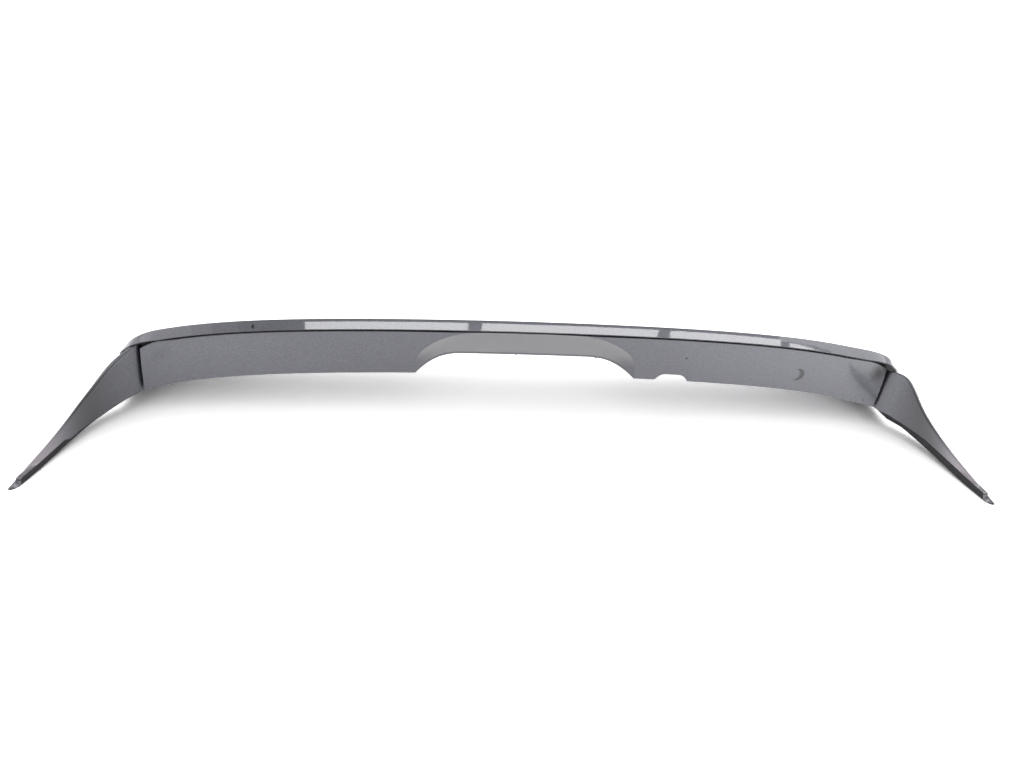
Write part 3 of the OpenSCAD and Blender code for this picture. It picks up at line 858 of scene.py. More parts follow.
def dress(
    piece: bpy.types.Object, nodes: Sequence[str] = (), finish: bpy.types.Material | None = None
) -> None:
    """Gives a finished piece its finish, its body and the nodes it stands for.

    Args:
        piece: The finished piece.
        nodes: Construction nodes that the piece replaces.
        finish: Material, unless the piece already has it.
    """
    if finish:
        piece.data.materials.clear()
        piece.data.materials.append(finish)
    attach(piece, "root")
    if nodes:
        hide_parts(*nodes)
    log.info("%s: %d faces", piece.name, len(piece.data.polygons))


@dataclass(frozen=True)
class SkinMoulding:
    """Painted outer skin: lip face, crowned top, front hem and rolled side rims."""

    form: WingForm
    stations: int = 170
    corner_cuts: int = 26
    rim_cuts: int = 7
    face_shares: tuple[float, ...] = (1, 0.6, 0.25)
    skin_cuts: int = 16
    rim_thin: float = 0.34
    edge_round: float = 1.5
    hem_round: float = 3
    inner_rounds: tuple[float, float] = (0.4, 0.6)
    turn_limit: float = 0.995
    roll_less: float = 0.12
    roll_step: float = 0.3
    edge_back: float = 0.25
    edge_up: float = 0.12
    rim_back: float = 3
    rim_back_top: float = 4
    rim_keep: float = 0.5
    rim_fade: float = 0.3
    hem_in: float = 0.6

    def face_turn(self, x: float) -> float:
        """Angle by which the lip face has turned sideways at x."""
        t = min(self.form.corner(x), self.turn_limit)
        return math.atan(self.form.corner_set / self.form.corner_w * t / math.sqrt(1 - t * t))

    def section(self, x: float, roll: float) -> Path:
        """Corners of one station's outside.

        Args:
            x: Distance from the middle.
            roll: Share of the side rim that has been turned down.

        Returns:
            Points from the lip face's lower edge over the top to the hem.
        """
        f = self.form
        (ay, az), (by, bz) = f.lip_at(x), f.lead_at(x)
        turn, side = self.face_turn(x), math.copysign(1, x)
        run, drop = f.face_run * f.face_size(x), f.face_drop * f.face_size(x)
        out = f.rim_out * math.sin(math.radians(90 * roll))
        down = f.rim_drop * (1 - math.cos(math.radians(90 * roll)))
        px = x + side * out
        path = []
        count = len(self.face_shares)
        for i, face_share in enumerate(self.face_shares):
            s = max(face_share, roll * (1 - self.roll_less * i))
            path.append(vec(
                x + side * max(run * s * math.sin(turn), out),
                ay - run * s * math.cos(turn) + (i + 1) * roll,
                az - max(drop * s, down + self.roll_step * (count - i) * roll),
            ))
        back, up = self.edge_back * f.lip_round, self.edge_up * f.lip_round
        path.append(vec(px, ay + back + self.rim_back * roll, az + up - down))
        for k in range(1, self.skin_cuts + 1):
            t = k / self.skin_cuts
            path.append(vec(
                px, mix(ay, by, t) + self.rim_back_top * roll * (1 - t),
                mix(az, bz, t) + f.crown * bulge(t)
                - down * min(1, (1 - t) / self.rim_fade + self.rim_keep),
            ))
        path.append(vec(px, by - self.hem_in, bz - f.hem_drop))
        return path

    def moved_in(self, grid: np.ndarray) -> np.ndarray:
        """The same grid moved inwards at right angles to the surface.

        Args:
            grid: Outside points as stations by points by 3.

        Returns:
            Inside points, with a thinner wall at the rims.
        """
        across = np.gradient(grid, axis=0)
        along = np.gradient(grid, axis=1)
        normal = np.cross(along, across)
        normal /= np.linalg.norm(normal, axis=2, keepdims=True)
        thin = np.array([
            self.form.skin_wall * mix(1, self.rim_thin, self.form.corner(row[-1][0]) ** 3)
            for row in grid
        ])
        moved = grid + normal * thin[:, None, None]
        moved[:, :, 2] = np.maximum(moved[:, :, 2], 0)
        return moved

    def station_list(self) -> list[tuple[float, float]]:
        """Distances from the middle and rolls of all stations, from left to right.

        Returns:
            Distance from the middle and roll of each station.
        """
        f = self.form
        start = f.skin_half - f.corner_w
        flat = [(start * k / self.stations, 0.0) for k in range(self.stations)]
        turn = [
            (start + f.corner_w * math.sin(math.pi / 2 * k / self.corner_cuts), 0.0)
            for k in range(self.corner_cuts + 1)
        ]
        rim = [(f.skin_half, (k + 1) / self.rim_cuts) for k in range(self.rim_cuts)]
        right = flat + turn + rim
        return [(-x, r) for x, r in reversed(right[1:])] + right

    def build(self, finishes: Finishes) -> None:
        """Makes and dresses the skin.

        Args:
            finishes: The materials.
        """
        grid = np.array([self.section(x, r) for x, r in self.station_list()])
        edge, hem = len(self.face_shares), grid.shape[1] - 2
        right = (Side.RIGHT.value,)
        walls = []
        for rows, rounds in (
            (grid, (self.edge_round, self.hem_round)), (self.moved_in(grid), self.inner_rounds)
        ):
            radii = np.zeros(grid.shape[1])
            radii[[edge, hem]] = rounds
            walls.append(self.form.leaned(np.array([fillet(row, radii) for row in rows]), right))
        dress(loft_mesh("skin_moulding", *walls, self.form), ["upper_shell"], finishes.skin)


@dataclass(frozen=True)
class LowerMoulding:
    """Painted lower shell: lip tongue, shadow groove, band, scoop, notch and base wall."""

    form: WingForm
    shell_wall: float = 3
    overhang: float = 4
    groove_h: float = 5.2
    groove_d: float = 4.5
    foot_y: float = 168
    foot_z: float = 68
    foot_sweep: float = -6
    band_bulge: float = 1.5
    foot_round: float = 3
    left_turn: float = 7
    right_turn: float = 13
    left_drop: float = -1.2
    right_drop: float = 3.6
    end_from: float = 435
    # Points of the lip tongue and the shadow groove, painted dark as painted shade.
    groove_points: int = 13
    step_run: float = 9
    step_rise: float = 6
    flange_w: float = 12
    scoop_x: float = 8
    scoop_half: float = 148
    scoop_flank: float = 63
    scoop_depth: float = 26
    scoop_rise: float = 15.5
    scoop_power: float = 2.5
    scoop_arch: float = 60
    arch_fade: float = 48
    notch_x: float = 208
    notch_half: float = 23
    notch_flank: float = 13
    notch_rise: float = 9.5
    bond_gap: float = 0.2
    band_cuts: int = 18
    base_cuts: int = 10
    rib_t: float = 2.4
    rib_ramp: float = 0.4
    rib_first: float = 248
    rib_pitch: float = 100
    rib_count: int = 2
    spacing: float = 3.2
    tongue_shares: tuple[float, float] = (0.3, 0.55)
    tongue_back: float = 1.2
    tongue_fall: float = 0.65
    tongue_fade: float = 3
    tongue_blunt: tuple[float, float] = (1, -0.4)
    groove_radii: tuple[float, ...] = (0.0, 0.4, 0.8, 1.4)
    groove_rise: float = 0.5
    foot_flat: float = 1
    flat_round: float = 0.6
    step_round: float = 1.2
    lead_gap: float = 1.6
    lead_rise: float = 1

    @property
    def seat(self) -> float:
        """How far under the skin's outside the inside of the flange and the walls ends."""
        return self.form.skin_wall + 3 * self.bond_gap

    def scoop(self, x: float) -> float:
        """Share of the wiper scoop's depth at x."""
        t = share(self.scoop_half - abs(x - self.scoop_x), 0, self.scoop_flank)
        return 1 - (1 - t) ** self.scoop_power

    def notch(self, x: float) -> float:
        """Share of the notch's height at x."""
        return ease(share(self.notch_half - abs(x - self.notch_x), 0, self.notch_flank))

    def arch_shift(self, x: float, v: float) -> float:
        """Sideways shift that lets the scoop's crease arch inwards towards the lip.

        Args:
            x: Distance from the middle.
            v: Share of the way down the band.

        Returns:
            Shift along X.
        """
        u = x - self.scoop_x
        past = share(abs(u) - self.scoop_half, 0, self.arch_fade)
        reach = min(1.0, abs(u) / self.scoop_half) - past
        return -math.copysign(1, u) * self.scoop_arch * (1 - v) ** 3 * reach

    def band_top(self, x: float) -> tuple[float, float]:
        """Distance and height of the band's upper edge.

        Args:
            x: Distance from the middle.

        Returns:
            Distance along Y and height.
        """
        f = self.form
        t = smooth(share(abs(x), self.end_from, f.body_half))
        ends = (self.left_turn, self.left_drop), (self.right_turn, self.right_drop)
        turn, drop = ends[int(x > 0)]
        return (
            f.lip_y + f.lip_sweep * f.out_share(x) - f.face_run + self.overhang + turn * t,
            f.lip_at(x)[1] - f.face_drop * f.face_size(x) - self.groove_h - drop * t,
        )

    def foot(self, x: float) -> tuple[float, float]:
        """Distance and height of the band's lower edge.

        Args:
            x: Distance from the middle.

        Returns:
            Distance along Y and height.
        """
        return (
            self.foot_y + self.foot_sweep * self.form.out_share(x) + self.scoop_depth * self.scoop(x),
            self.foot_z - self.form.camber(x) + self.scoop_rise * self.scoop(x)
            + self.notch_rise * self.notch(x),
        )

    def front(self, x: float) -> tuple[float, float]:
        """Distance and height of the base wall's end behind the skin's hem.

        Args:
            x: Distance from the middle.

        Returns:
            Distance along Y and height.
        """
        y, z = self.form.lead_at(x)
        end_y = y - self.form.skin_wall - 2 * self.bond_gap - self.lead_gap
        return end_y, z + self.lead_rise - self.form.hem_drop

    def base_z(self, x: float, y: float) -> float:
        """Height of the base wall's underside.

        Args:
            x: Distance from the middle.
            y: Distance from the tips.

        Returns:
            Height.
        """
        foot, end = self.foot(x), self.front(x)
        start = foot[0] + self.foot_round + self.step_run, foot[1] + self.step_rise
        return mix(start[1], end[1], share(y, start[0], end[0]))

    def band_point(self, x: float, v: float) -> Point:
        """Point of the band at share v between its upper edge and the foot.

        Args:
            x: Distance from the middle.
            v: Share of the way down the band.

        Returns:
            The point.
        """
        top, foot = self.band_top(x), self.foot(x)
        return vec(
            x + self.arch_shift(x, v),
            mix(top[0], self.foot_y + self.foot_sweep * self.form.out_share(x), v)
            + self.scoop_depth * self.scoop(x) * v - self.band_bulge * bulge(v),
            mix(top[1], foot[1] + self.foot_round, v),
        )

    def outer_path(self, x: float) -> tuple[Path, list[float]]:
        """Corners and roundings of the outside at x.

        Args:
            x: Distance from the middle.

        Returns:
            The corners, and the rounding of each.
        """
        f, gap = self.form, self.bond_gap
        a, t, foot, s = f.lip_at(x), self.band_top(x), self.foot(x), f.face_size(x)
        groove = t[0] + self.groove_d
        end_y, end_z = self.front(x)
        back = self.tongue_back * f.skin_wall + gap
        upper, lower = (
            np.array((a[0] - part * f.face_run * s + back, a[1] - part * f.face_drop * s - back / 4))
            for part in self.tongue_shares
        )
        d = max(0.0, groove - lower[0])
        top = lower + np.array((d, -gap - self.tongue_fall * d))
        blunt = top + np.array(self.tongue_blunt)
        end = mix(upper - np.array((0, gap)), blunt, share(d, 0, self.tongue_fade))
        corners = [vec(x, *end), vec(x, *top), vec(x, groove, t[1] + self.groove_rise),
                   vec(x + self.arch_shift(x, 0), t[0], t[1])]
        rows = list(zip(corners, self.groove_radii))
        rows += [(self.band_point(x, k / self.band_cuts), 0) for k in range(1, self.band_cuts + 1)]
        rows.append((vec(x, foot[0], foot[1]), self.foot_round))
        start = foot[0] + self.foot_round
        rows.append((vec(x, start + self.foot_flat, foot[1]), self.flat_round))
        step = start + self.step_run
        for k in range(self.base_cuts + 1):
            y = mix(step, end_y - self.flange_w, k / self.base_cuts)
            rows.append((vec(x, y, self.base_z(x, y)), self.step_round if k == 0 else 0))
        rows.append((vec(x, end_y, end_z), 0))
        return [point for point, _ in rows], [radius for _, radius in rows]

    def inner_path(self, x: float, outer: Path) -> Path:
        """Corners of the inside at x, one for each corner of the outside.

        Args:
            x: Distance from the middle.
            outer: Corners of the outside.

        Returns:
            The corners.
        """
        # The factors of w are wall thicknesses, so that each corner is moved inwards by one.
        w = self.shell_wall
        k = share(outer[0][2] - outer[1][2], -0.5, 1.5)
        groove = max(outer[2][1], outer[1][1])
        top = self.band_top(x)
        path = [outer[0] + w * mix(vec(0, 0.5, -0.5), vec(0, 0.75, -0.8), k),
                outer[1] + w * vec(0, 1, mix(-0.7, -0.35, k)),
                vec(x, groove + w, top[1] - 0.5 * w),
                vec(x + self.arch_shift(x, 0.05), max(groove + 0.2 * w, top[0] + w), top[1] - 1.4 * w)]
        band_end = 3 + self.band_cuts
        path += [p + vec(0, w, 0) for p in outer[4:band_end + 1]]
        path.append(outer[band_end + 1] + vec(0, w, 1.2 * w))
        path.append(outer[band_end + 2] + vec(0, 0.5 * w, 1.5 * w))
        path += [p + vec(0, 0, w) for p in outer[band_end + 3:-2]]
        for p in outer[-2:]:
            path.append(vec(x, p[1], self.form.under_skin_z(x, p[1], self.seat)))
        for i in (4, 5):
            path[i][2] = min(path[i][2], path[3][2] - 0.4 * (i - 3))
        return path

    def wall_path(self, x: float, outer: Path) -> Path:
        """Corners of the inside in an end wall, which reaches up to the skin.

        Args:
            x: Distance from the middle.
            outer: Corners of the outside.

        Returns:
            The corners.
        """
        path = self.inner_path(x, outer)
        lip_y = self.form.lip_at(x)[0]
        start = max(lip_y + 3.4 * self.form.skin_wall, outer[2][1] + 3.5 * self.shell_wall)
        first, end_y = 5, outer[-1][1]
        for i in range(first, len(path)):
            y = mix(start, end_y, (i - first) / (len(path) - 1 - first))
            path[i] = vec(x, y, self.form.under_skin_z(x, y, self.seat))
        path[4][2] = path[3][2] - 0.4
        return path

    def station_list(self) -> list[float]:
        """Distances of the stations from the middle, close together and on every crease.

        Returns:
            Distance from the middle of each station.
        """
        half = self.form.body_half
        creases = [-half, half]
        scoop = self.scoop_x, self.scoop_half, self.scoop_flank
        notch = self.notch_x, self.notch_half, self.notch_flank
        for mid, reach, flank in (scoop, notch):
            for side in (-1, 1):
                creases += [mid + side * reach, mid + side * (reach - flank)]
        creases.sort()
        stations = []
        for a, b in zip(creases, creases[1:]):
            count = max(1, round((b - a) / self.spacing))
            stations += [mix(a, b, k / count) for k in range(count)]
        return stations + [half]

    def build(self, finishes: Finishes) -> None:
        """Makes and dresses the shell.

        Args:
            finishes: The materials.
        """
        outer, inner = [], []
        walls = self.wall_spans()
        near = self.rib_t / 2 + 2 * self.rib_ramp
        free = [x for x in self.station_list() if min(abs(x - mid) for mid in walls) > near]
        stations = [(x, False) for x in free]
        for mid in walls:
            for step, solid in ((-1, False), (0, True), (1, True), (2, False)):
                reach = self.rib_t / 2 + (self.rib_ramp if not solid else 0)
                x = mid + (reach if step > 0 else -reach)
                if abs(x) <= self.form.body_half:
                    stations.append((x, solid))
        for x, solid in sorted(stations):
            path, radii = self.outer_path(x)
            outer.append(fillet(path, radii))
            inside = self.wall_path(x, path) if solid else self.inner_path(x, path)
            inner.append(fillet(inside, radii))
        both = [side.value for side in Side]
        grids = [self.form.leaned(np.array(grid), both) for grid in (outer, inner)]
        # The tongue and the shadow groove get the unpainted dark, as painted shade.
        shell = loft_mesh("lower_moulding", *grids, self.form, self.groove_points)
        dress(shell, ["lower_shell"], finishes.band)

    def wall_spans(self) -> list[float]:
        """Middles of the ribs and of the two end walls.

        Returns:
            Distances from the middle.
        """
        ribs = [self.rib_first + k * self.rib_pitch for k in range(self.rib_count)]
        walls = ribs + [self.form.body_half - self.rib_t / 2]
        return [-x for x in walls] + walls


@dataclass(frozen=True)
class SideFin:
    """Painted side fin: a hollow moulding whose inner wall carries on from the band."""

    form: WingForm
    side: Side
    strip_steps: tuple[tuple[float, float], ...]
    foot_y: float = 168
    seam_gap: float = 3.5
    fin_gap: float = 1.6
    fin_wall: float = 2.6
    tip_w: float = 8
    tip_h: float = 2.5
    fin_h: float = 112
    arch_h: float = 30
    outer_arch: float = 0.3
    root_w: float = 34
    edge_w: float = 3.2
    strip_w: float = 7
    strip_from: float = 9
    strip_ramp: float = 3
    strip_in: float = 0.4
    strip_short: float = 3
    strip_cuts: int = 90
    strip_clear: float = 0.2
    roof_min: float = 1
    roof_over: float = 1.5
    roof_end: float = 24
    tight_w: float = 12
    tight_share: float = 0.3
    rim_w: float = 7
    rim_from: float = 14
    rim_full: float = 1
    nose: float = 7
    nose_w: float = 3.2
    free_to: float = 0.8
    cavity_from: float = 24
    cavity_full: float = 50
    wall_cuts: int = 14
    ridge_cuts: int = 8
    flank_cuts: int = 14
    rows: int = 118
    crowding: float = 1.15
    roof_height: float = 1.6
    roof_height_out: float = 0.9
    flank_in: float = 0.8
    sweep_even: float = 0.62
    sweep_power: float = 4
    arch_power: float = 1.9
    arch_end: float = 0.4
    width_power: float = 1.35
    root_over: float = 5
    outer_end: float = 0.1
    rise: tuple[float, float, float] = (0.6, -0.35, 0.75)
    tip_flat: float = 1.2
    ridge_in: float = 5
    ridge_in_to: float = 0.7
    level_past: float = 3
    edge_share: float = 0.4
    edge_fall: float = 0.3
    edge_drop: tuple[float, float] = (0.9, 0.6)
    edge_turn: tuple[float, float] = (0.1, 0.3)
    flank_from: float = 0.02
    flank_bend: tuple[float, float] = (1.3, 0.9)
    apex_most: float = 0.7
    floor_rise: float = 0.1
    join: tuple[float, float] = (0.9, 1.07)

    @property
    def root_y(self) -> float:
        """Distance at which the fin meets the band."""
        return self.foot_y - 1

    @property
    def end_y(self) -> float:
        """Distance at which the fin ends under the skin."""
        return self.form.depth - self.roof_end

    @property
    def inner_x(self) -> float:
        """Distance of the inner wall from the middle, at the seam."""
        return self.form.body_half + self.seam_gap

    def run(self, y: float) -> float:
        """Share of the way from the tip to the root."""
        return min(1.0, y / self.root_y)

    def covered(self, y: float) -> float:
        """Share of the way through the stretch under the skin."""
        return share(y, self.root_y, self.end_y)

    def nose_in(self, y: float) -> float:
        """How much narrower than the rest of the tip the rounded nose is."""
        return (self.tip_w - self.nose_w) * (1 - ease(share(y, 0, self.nose)))

    def opened(self, y: float) -> float:
        """Share to which the flat bottom of the tip has opened into the cavity."""
        return smooth(share(y, self.cavity_from, self.cavity_full))

    def wall(self, y: float) -> float:
        """Wall thickness, which runs out towards the tip."""
        return min(self.fin_wall, self.tip_w / 4 + y / 20)

    def flank_power(self, y: float) -> float:
        """Power that bends the outer flank."""
        low, more = self.flank_bend
        return low + more * self.run(y) ** 3

    def base_in(self, y: float) -> tuple[float, float]:
        """Inner edge of the base, as a distance from the middle and a height.

        Args:
            y: Distance from the tip.

        Returns:
            Distance from the middle and height.
        """
        u, start = self.run(y), self.form.tip_span / 2 - self.tip_w
        bend = self.sweep_even * u + (1 - self.sweep_even) * u**self.sweep_power
        x = start - (start - self.inner_x) * bend
        x += self.nose_in(y)
        z = mix(self.arch_h * u**self.arch_power, self.arch_end * self.arch_h, self.covered(y))
        return x + self.lean(y, z), z

    def lean(self, y: float, z: float) -> float:
        """How far the fin leans outwards at a distance and height."""
        return self.side.value * self.form.lean_at(y, z)

    def base_out(self, y: float) -> tuple[float, float]:
        """Outer edge of the base.

        Args:
            y: Distance from the tip.

        Returns:
            Distance from the middle and height.
        """
        x, z = self.base_in(y)
        x -= self.lean(y, z)
        width = mix(self.tip_w, self.root_w, self.run(y) ** self.width_power)
        width -= self.nose_in(y)
        return (
            mix(x + width, self.form.skin_half + self.root_over, self.covered(y)),
            mix(self.outer_arch * z, self.outer_end * self.arch_h, self.covered(y)),
        )

    def free_z(self, u: float) -> float:
        """Height of the free edge at share u of the way to the root."""
        a, b, c = self.rise
        return self.tip_h + self.fin_h * (a * u + b * u * u + c * u**3)

    def corner_x(self, y: float) -> float:
        """Distance from the middle at which the skin's rounded corner passes a distance y.

        Args:
            y: Distance from the tip.

        Returns:
            Distance from the middle.
        """
        f = self.form
        inset = share(y - f.lip_y - f.lip_sweep, 0, f.corner_set)
        return f.skin_half - f.corner_w * (1 - math.sqrt(1 - (1 - inset) ** 2))

    def cover_z(self, x: float, y: float) -> float:
        """Height of the fin's top under the skin.

        Args:
            x: Distance from the middle.
            y: Distance from the tip.

        Returns:
            Height.
        """
        lip_y = self.form.lip_at(x)[0]
        near = 1 - share(y, lip_y, lip_y + self.tight_w)
        gap = self.form.skin_wall + self.fin_gap * (1 - self.tight_share * near)
        rim = self.form.rim_drop * share(x, self.form.skin_half - self.rim_w, self.form.skin_half)
        rim *= smooth(share(y, lip_y - self.rim_from, lip_y - self.rim_full))
        return self.form.under_skin_z(x, max(y, lip_y + 0.5), gap) - rim

    def ridge(self, y: float) -> tuple[float, float]:
        """Free upper edge, which levels out into the part under the skin.

        Args:
            y: Distance from the tip.

        Returns:
            Distance from the middle and height.
        """
        u = self.run(y)
        bx, bz = self.base_in(y)
        x = bx - self.lean(y, bz) + (self.tip_w - self.tip_flat) * (1 - u) ** 3 - self.nose_in(y)
        x -= self.ridge_in * u * (1 - smooth(share(u, self.ridge_in_to, 1)))
        start, end = self.free_to * self.root_y, self.root_y + self.level_past
        t = share(y, start, end)
        z = self.free_z(u)
        if t > 0:
            rise = self.free_z(self.free_to) - self.free_z(self.free_to - 1 / self.root_y)
            z = mix(self.free_z(self.free_to), self.cover_z(self.inner_x, end), smooth(t))
            z += rise * (end - start) * t * (1 - t) ** 2
        return x + self.lean(y, z), z

    def edge(self, y: float) -> float:
        """Width of the rounding along the free edge."""
        return min(self.edge_w, (self.base_out(y)[0] - self.ridge(y)[0]) * self.edge_share)

    def flank(self, y: float, s: float) -> tuple[float, float]:
        """Point of the outer flank at share s from the free edge to the base.

        Args:
            y: Distance from the tip.
            s: Share of the way from the free edge to the base.

        Returns:
            Distance from the middle and height.
        """
        (fx, fz), (ox, oz), e = self.ridge(y), self.base_out(y), self.edge(y)
        return mix(fx + e, ox, s), mix(fz - self.edge_fall * e, oz, s ** self.flank_power(y))

    def strip_z(self, y: float) -> float:
        """Height of the sealing strip, which lifts the lower edge of the inner wall."""
        rise = ease(share(y, self.strip_from, self.strip_from + self.strip_ramp))
        return rise * float(np.interp(y, *zip(*self.strip_steps)))

    def free_section(self, y: float) -> np.ndarray:
        """Outside of the fin where it stands free, from the inner base over the edge.

        Args:
            y: Distance from the tip.

        Returns:
            Points of the section.
        """
        (x, z), (fx, fz), e = self.base_in(y), self.ridge(y), self.edge(y)
        z += self.strip_z(y)
        top = min(self.edge_drop[0] * e, self.edge_drop[1] * (fz - z))
        path = [vec(mix(x, fx, t), y, mix(z, fz - top, t)) for t in np.linspace(0, 1, self.wall_cuts)]
        first, (out, up) = self.flank(y, self.flank_from), self.edge_turn
        start, turn, end = path[-1], vec(fx + out * e, y, fz + up * top), vec(first[0], y, first[1])
        path += [curve(start, turn, end, k / self.ridge_cuts) for k in range(1, self.ridge_cuts)]
        for t in np.linspace(self.flank_from, 1, self.flank_cuts):
            px, pz = self.flank(y, t)
            path.append(vec(px, y, pz))
        return np.array(path)

    def free_cavity(self, y: float) -> np.ndarray:
        """Inside of the fin; near the tip it is a flat bottom with a thin edge on each side.

        Args:
            y: Distance from the tip.

        Returns:
            Points of the section.
        """
        w = self.wall(y)
        (hx, z), (fx, fz), (ox, oz), e = self.base_in(y), self.ridge(y), self.base_out(y), self.edge(y)
        hz, z = z, z + self.strip_z(y)
        x, end = hx + w, ox - w
        apex = max(0.0, (2 * self.fin_wall + self.flank_in - e) / (ox - fx - e))
        apex = min(self.apex_most, apex)
        top = self.flank(y, apex)
        ax = mix(hx, fx, share(top[1], hz, fz)) + w
        roof = top[1] - self.roof_height
        full = [vec(mix(x, ax, t), y, mix(z, roof, t)) for t in np.linspace(0, 1, self.wall_cuts)]
        for k in range(1, self.ridge_cuts):
            t = k / self.ridge_cuts
            full.append(vec(ax + 0.3 * t, y, top[1] - mix(self.roof_height, self.roof_height_out, t)))
        for t in np.linspace(0, 1, self.flank_cuts)[:-1]:
            px, pz = self.flank(y, mix(apex, 1, t))
            full.append(vec(px - w, y, pz - self.flank_in))
        full.append(vec(end, y, oz))
        n = len(full) - 1
        flat = [vec(mix(x, end, i / (n - 1)), y, z + self.floor_rise) for i in range(n)] + [vec(end, y, oz)]
        return mix(np.array(flat), np.array(full), self.opened(y))

    def covered_section(self, y: float, wall: float) -> np.ndarray:
        """Section under the skin, for the outside or, with a wall thickness, the inside.

        Args:
            y: Distance from the tip.
            wall: Wall thickness, or 0 for the outside.

        Returns:
            Points of the section.
        """
        x, low = self.inner_x + wall, wall * 1.3
        (_, hz), (ox, oz) = self.base_in(y), self.base_out(y)
        e = self.edge_w
        top = self.cover_z(x, y) - low
        tx = x + self.lean(y, top)
        top = self.cover_z(tx, y) - low
        shift = self.lean(y, top)
        narrow = self.inner_x + shift + e + 2 * self.fin_wall + self.roof_min
        corner = min(self.form.skin_half, self.corner_x(y) + max(0, shift))
        end = max(narrow, corner + self.roof_over) - wall
        heights = [mix(hz, top - e, t) for t in np.linspace(0, 1, self.wall_cuts)]
        path = [vec(x + self.lean(y, z), y, z) for z in heights]
        x = tx
        start, turn = path[-1], vec(x, y, top)
        reach = vec(x + e, y, self.cover_z(x + e, y) - low)
        path += [curve(start, turn, reach, k / self.ridge_cuts) for k in range(1, self.ridge_cuts)]
        down = 4
        for t in np.linspace(0, 1, self.flank_cuts - down):
            px = mix(x + e, end, t)
            path.append(vec(px, y, self.cover_z(px, y) - low))
        for k in range(1, down + 1):
            t = k / down
            path.append(vec(mix(end, ox - wall, t), y, mix(self.cover_z(end, y) - low, oz, t)))
        return np.array(path)

    def build(self, finishes: Finishes) -> None:
        """Makes and dresses the fin and its strip, and gives its carrier a finish.

        Args:
            finishes: The materials.
        """
        word = self.side.word
        dress(self.moulding(), [f"{word}_fin"], finishes.fin)
        dress(self.strip(), [f"{word}_fin_strip"], finishes.rubber)
        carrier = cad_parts[f"{word}_fin_carrier"]
        carrier.data.materials.clear()
        carrier.data.materials.append(finishes.nylon)

    def moulding(self) -> bpy.types.Object:
        """Makes the fin's hollow moulding.

        Returns:
            The piece.
        """
        outer, inner = [], []
        ys = [self.end_y * (k / self.rows) ** self.crowding for k in range(self.rows + 1)]
        for y in ys:
            t = smooth(share(y, self.join[0] * self.root_y, self.join[1] * self.root_y))
            outer.append(mix(self.free_section(y), self.covered_section(y, 0), t))
            inner.append(mix(self.free_cavity(y), self.covered_section(y, self.fin_wall), t))
        grids = [np.array(grid) * self.side.flip for grid in (outer, inner)]
        closed = sum(y < self.cavity_full for y in ys)
        return loft_mesh(f"{self.side.word}_fin_moulding", *grids, self.form, painted=closed)

    def strip(self) -> bpy.types.Object:
        """Makes the sealing strip under the inner wall, with one moulded groove.

        Returns:
            The piece.
        """
        bottom, top = [], []
        # Shares of the width, each with its rise as a share of the strip's height.
        profile = ((0, 0.25), (0.12, 0), (0.3, 0), (0.42, 0.06), (0.5, 0.06), (0.62, 0), (0.88, 0), (1, 0.25))
        ends = self.strip_from + self.strip_in, self.strip_steps[-1][0] - self.strip_short
        for y in np.linspace(*ends, self.strip_cuts):
            (x, z), high, w = self.base_in(y), self.strip_z(y), self.strip_width(y)
            bottom.append([vec(x + w * a, y, z + b * high) for a, b in profile])
            top.append([vec(x + w * a, y, z + high - self.strip_clear) for a, _ in profile])
        grids = [np.array(grid) * self.side.flip for grid in (bottom, top)]
        return loft_mesh(f"{self.side.word}_sealing_strip", *grids, self.form)

    def strip_width(self, y: float) -> float:
        """Width of the sealing strip, which keeps clear of the fin's outer wall.

        Args:
            y: Distance from the tip.

        Returns:
            Width.
        """
        opened = self.opened(y)
        (x, z), e = self.base_in(y), self.edge(y)
        (fx, fz), (ox, oz) = self.ridge(y), self.base_out(y)
        high, under = z + self.strip_z(y), fz - self.edge_fall * e
        reach = (max(0.0, under - high) / max(0.1, under - oz)) ** (1 / self.flank_power(y))
        end = mix(ox, mix(fx + e, ox, reach), opened)
        clear = 0.2 * (3 + 44 * opened * (1 - opened))
        return min(self.strip_w, end - self.wall(y) - clear - x)


def revolve(profile: Sequence[tuple[float, float]], sides: int) -> tuple[np.ndarray, Faces]:
    """Turns a profile of radius and height round Z.

    Args:
        profile: Radius and height of each point, in millimetres.
        sides: Number of sides.

    Returns:
        Points in millimetres and faces.
    """
    angles = np.linspace(0, 2 * math.pi, sides, endpoint=False)
    points = np.array([(r * math.cos(a), r * math.sin(a), z) for r, z in profile for a in angles])
    faces = []
    for start in range(0, (len(profile) - 1) * sides, sides):
        for i in range(sides):
            a, b = start + i, start + (i + 1) % sides
            faces.append((a, b, b + sides, a + sides))
    return points, faces


@dataclass(frozen=True)
class SmallPart:
    """Turned or moulded small part that is repeated at several spots."""

    name: str
    profile: tuple[tuple[float, float], ...]
    thread: tuple[float, float, float, float] | None = None
    sides: int = 40
    thread_cuts: int = 8
    thread_depth: float = 0.2
    sharp_deg: float = 32

    def shape(self) -> bpy.types.Object:
        """Makes one copy of the part at the origin, in metres.

        Returns:
            The part.
        """
        profile = list(self.profile)
        if self.thread:
            low, high, radius, pitch = self.thread
            heights = np.linspace(low, high, int((high - low) / pitch * self.thread_cuts) + 1)
            spot = next(i for i, (_, z) in enumerate(profile) if z > low)
            profile[spot:spot] = [(radius, z) for z in heights]
        points, faces = revolve(profile, self.sides)
        if self.thread:
            rings = slice(spot * self.sides, (spot + len(heights)) * self.sides)
            turn = np.arctan2(points[rings, 1], points[rings, 0]) / (2 * math.pi)
            wave = np.abs((points[rings, 2] / pitch + turn) % 1 - 0.5) * 2
            fade = np.clip(np.minimum(points[rings, 2] - low, high - points[rings, 2]) / pitch, 0, 1)
            points[rings, :2] *= (1 - self.thread_depth * wave * fade)[:, None]
        return mesh_piece(self.name + "_shape", points * MM, faces, self.sharp_deg)


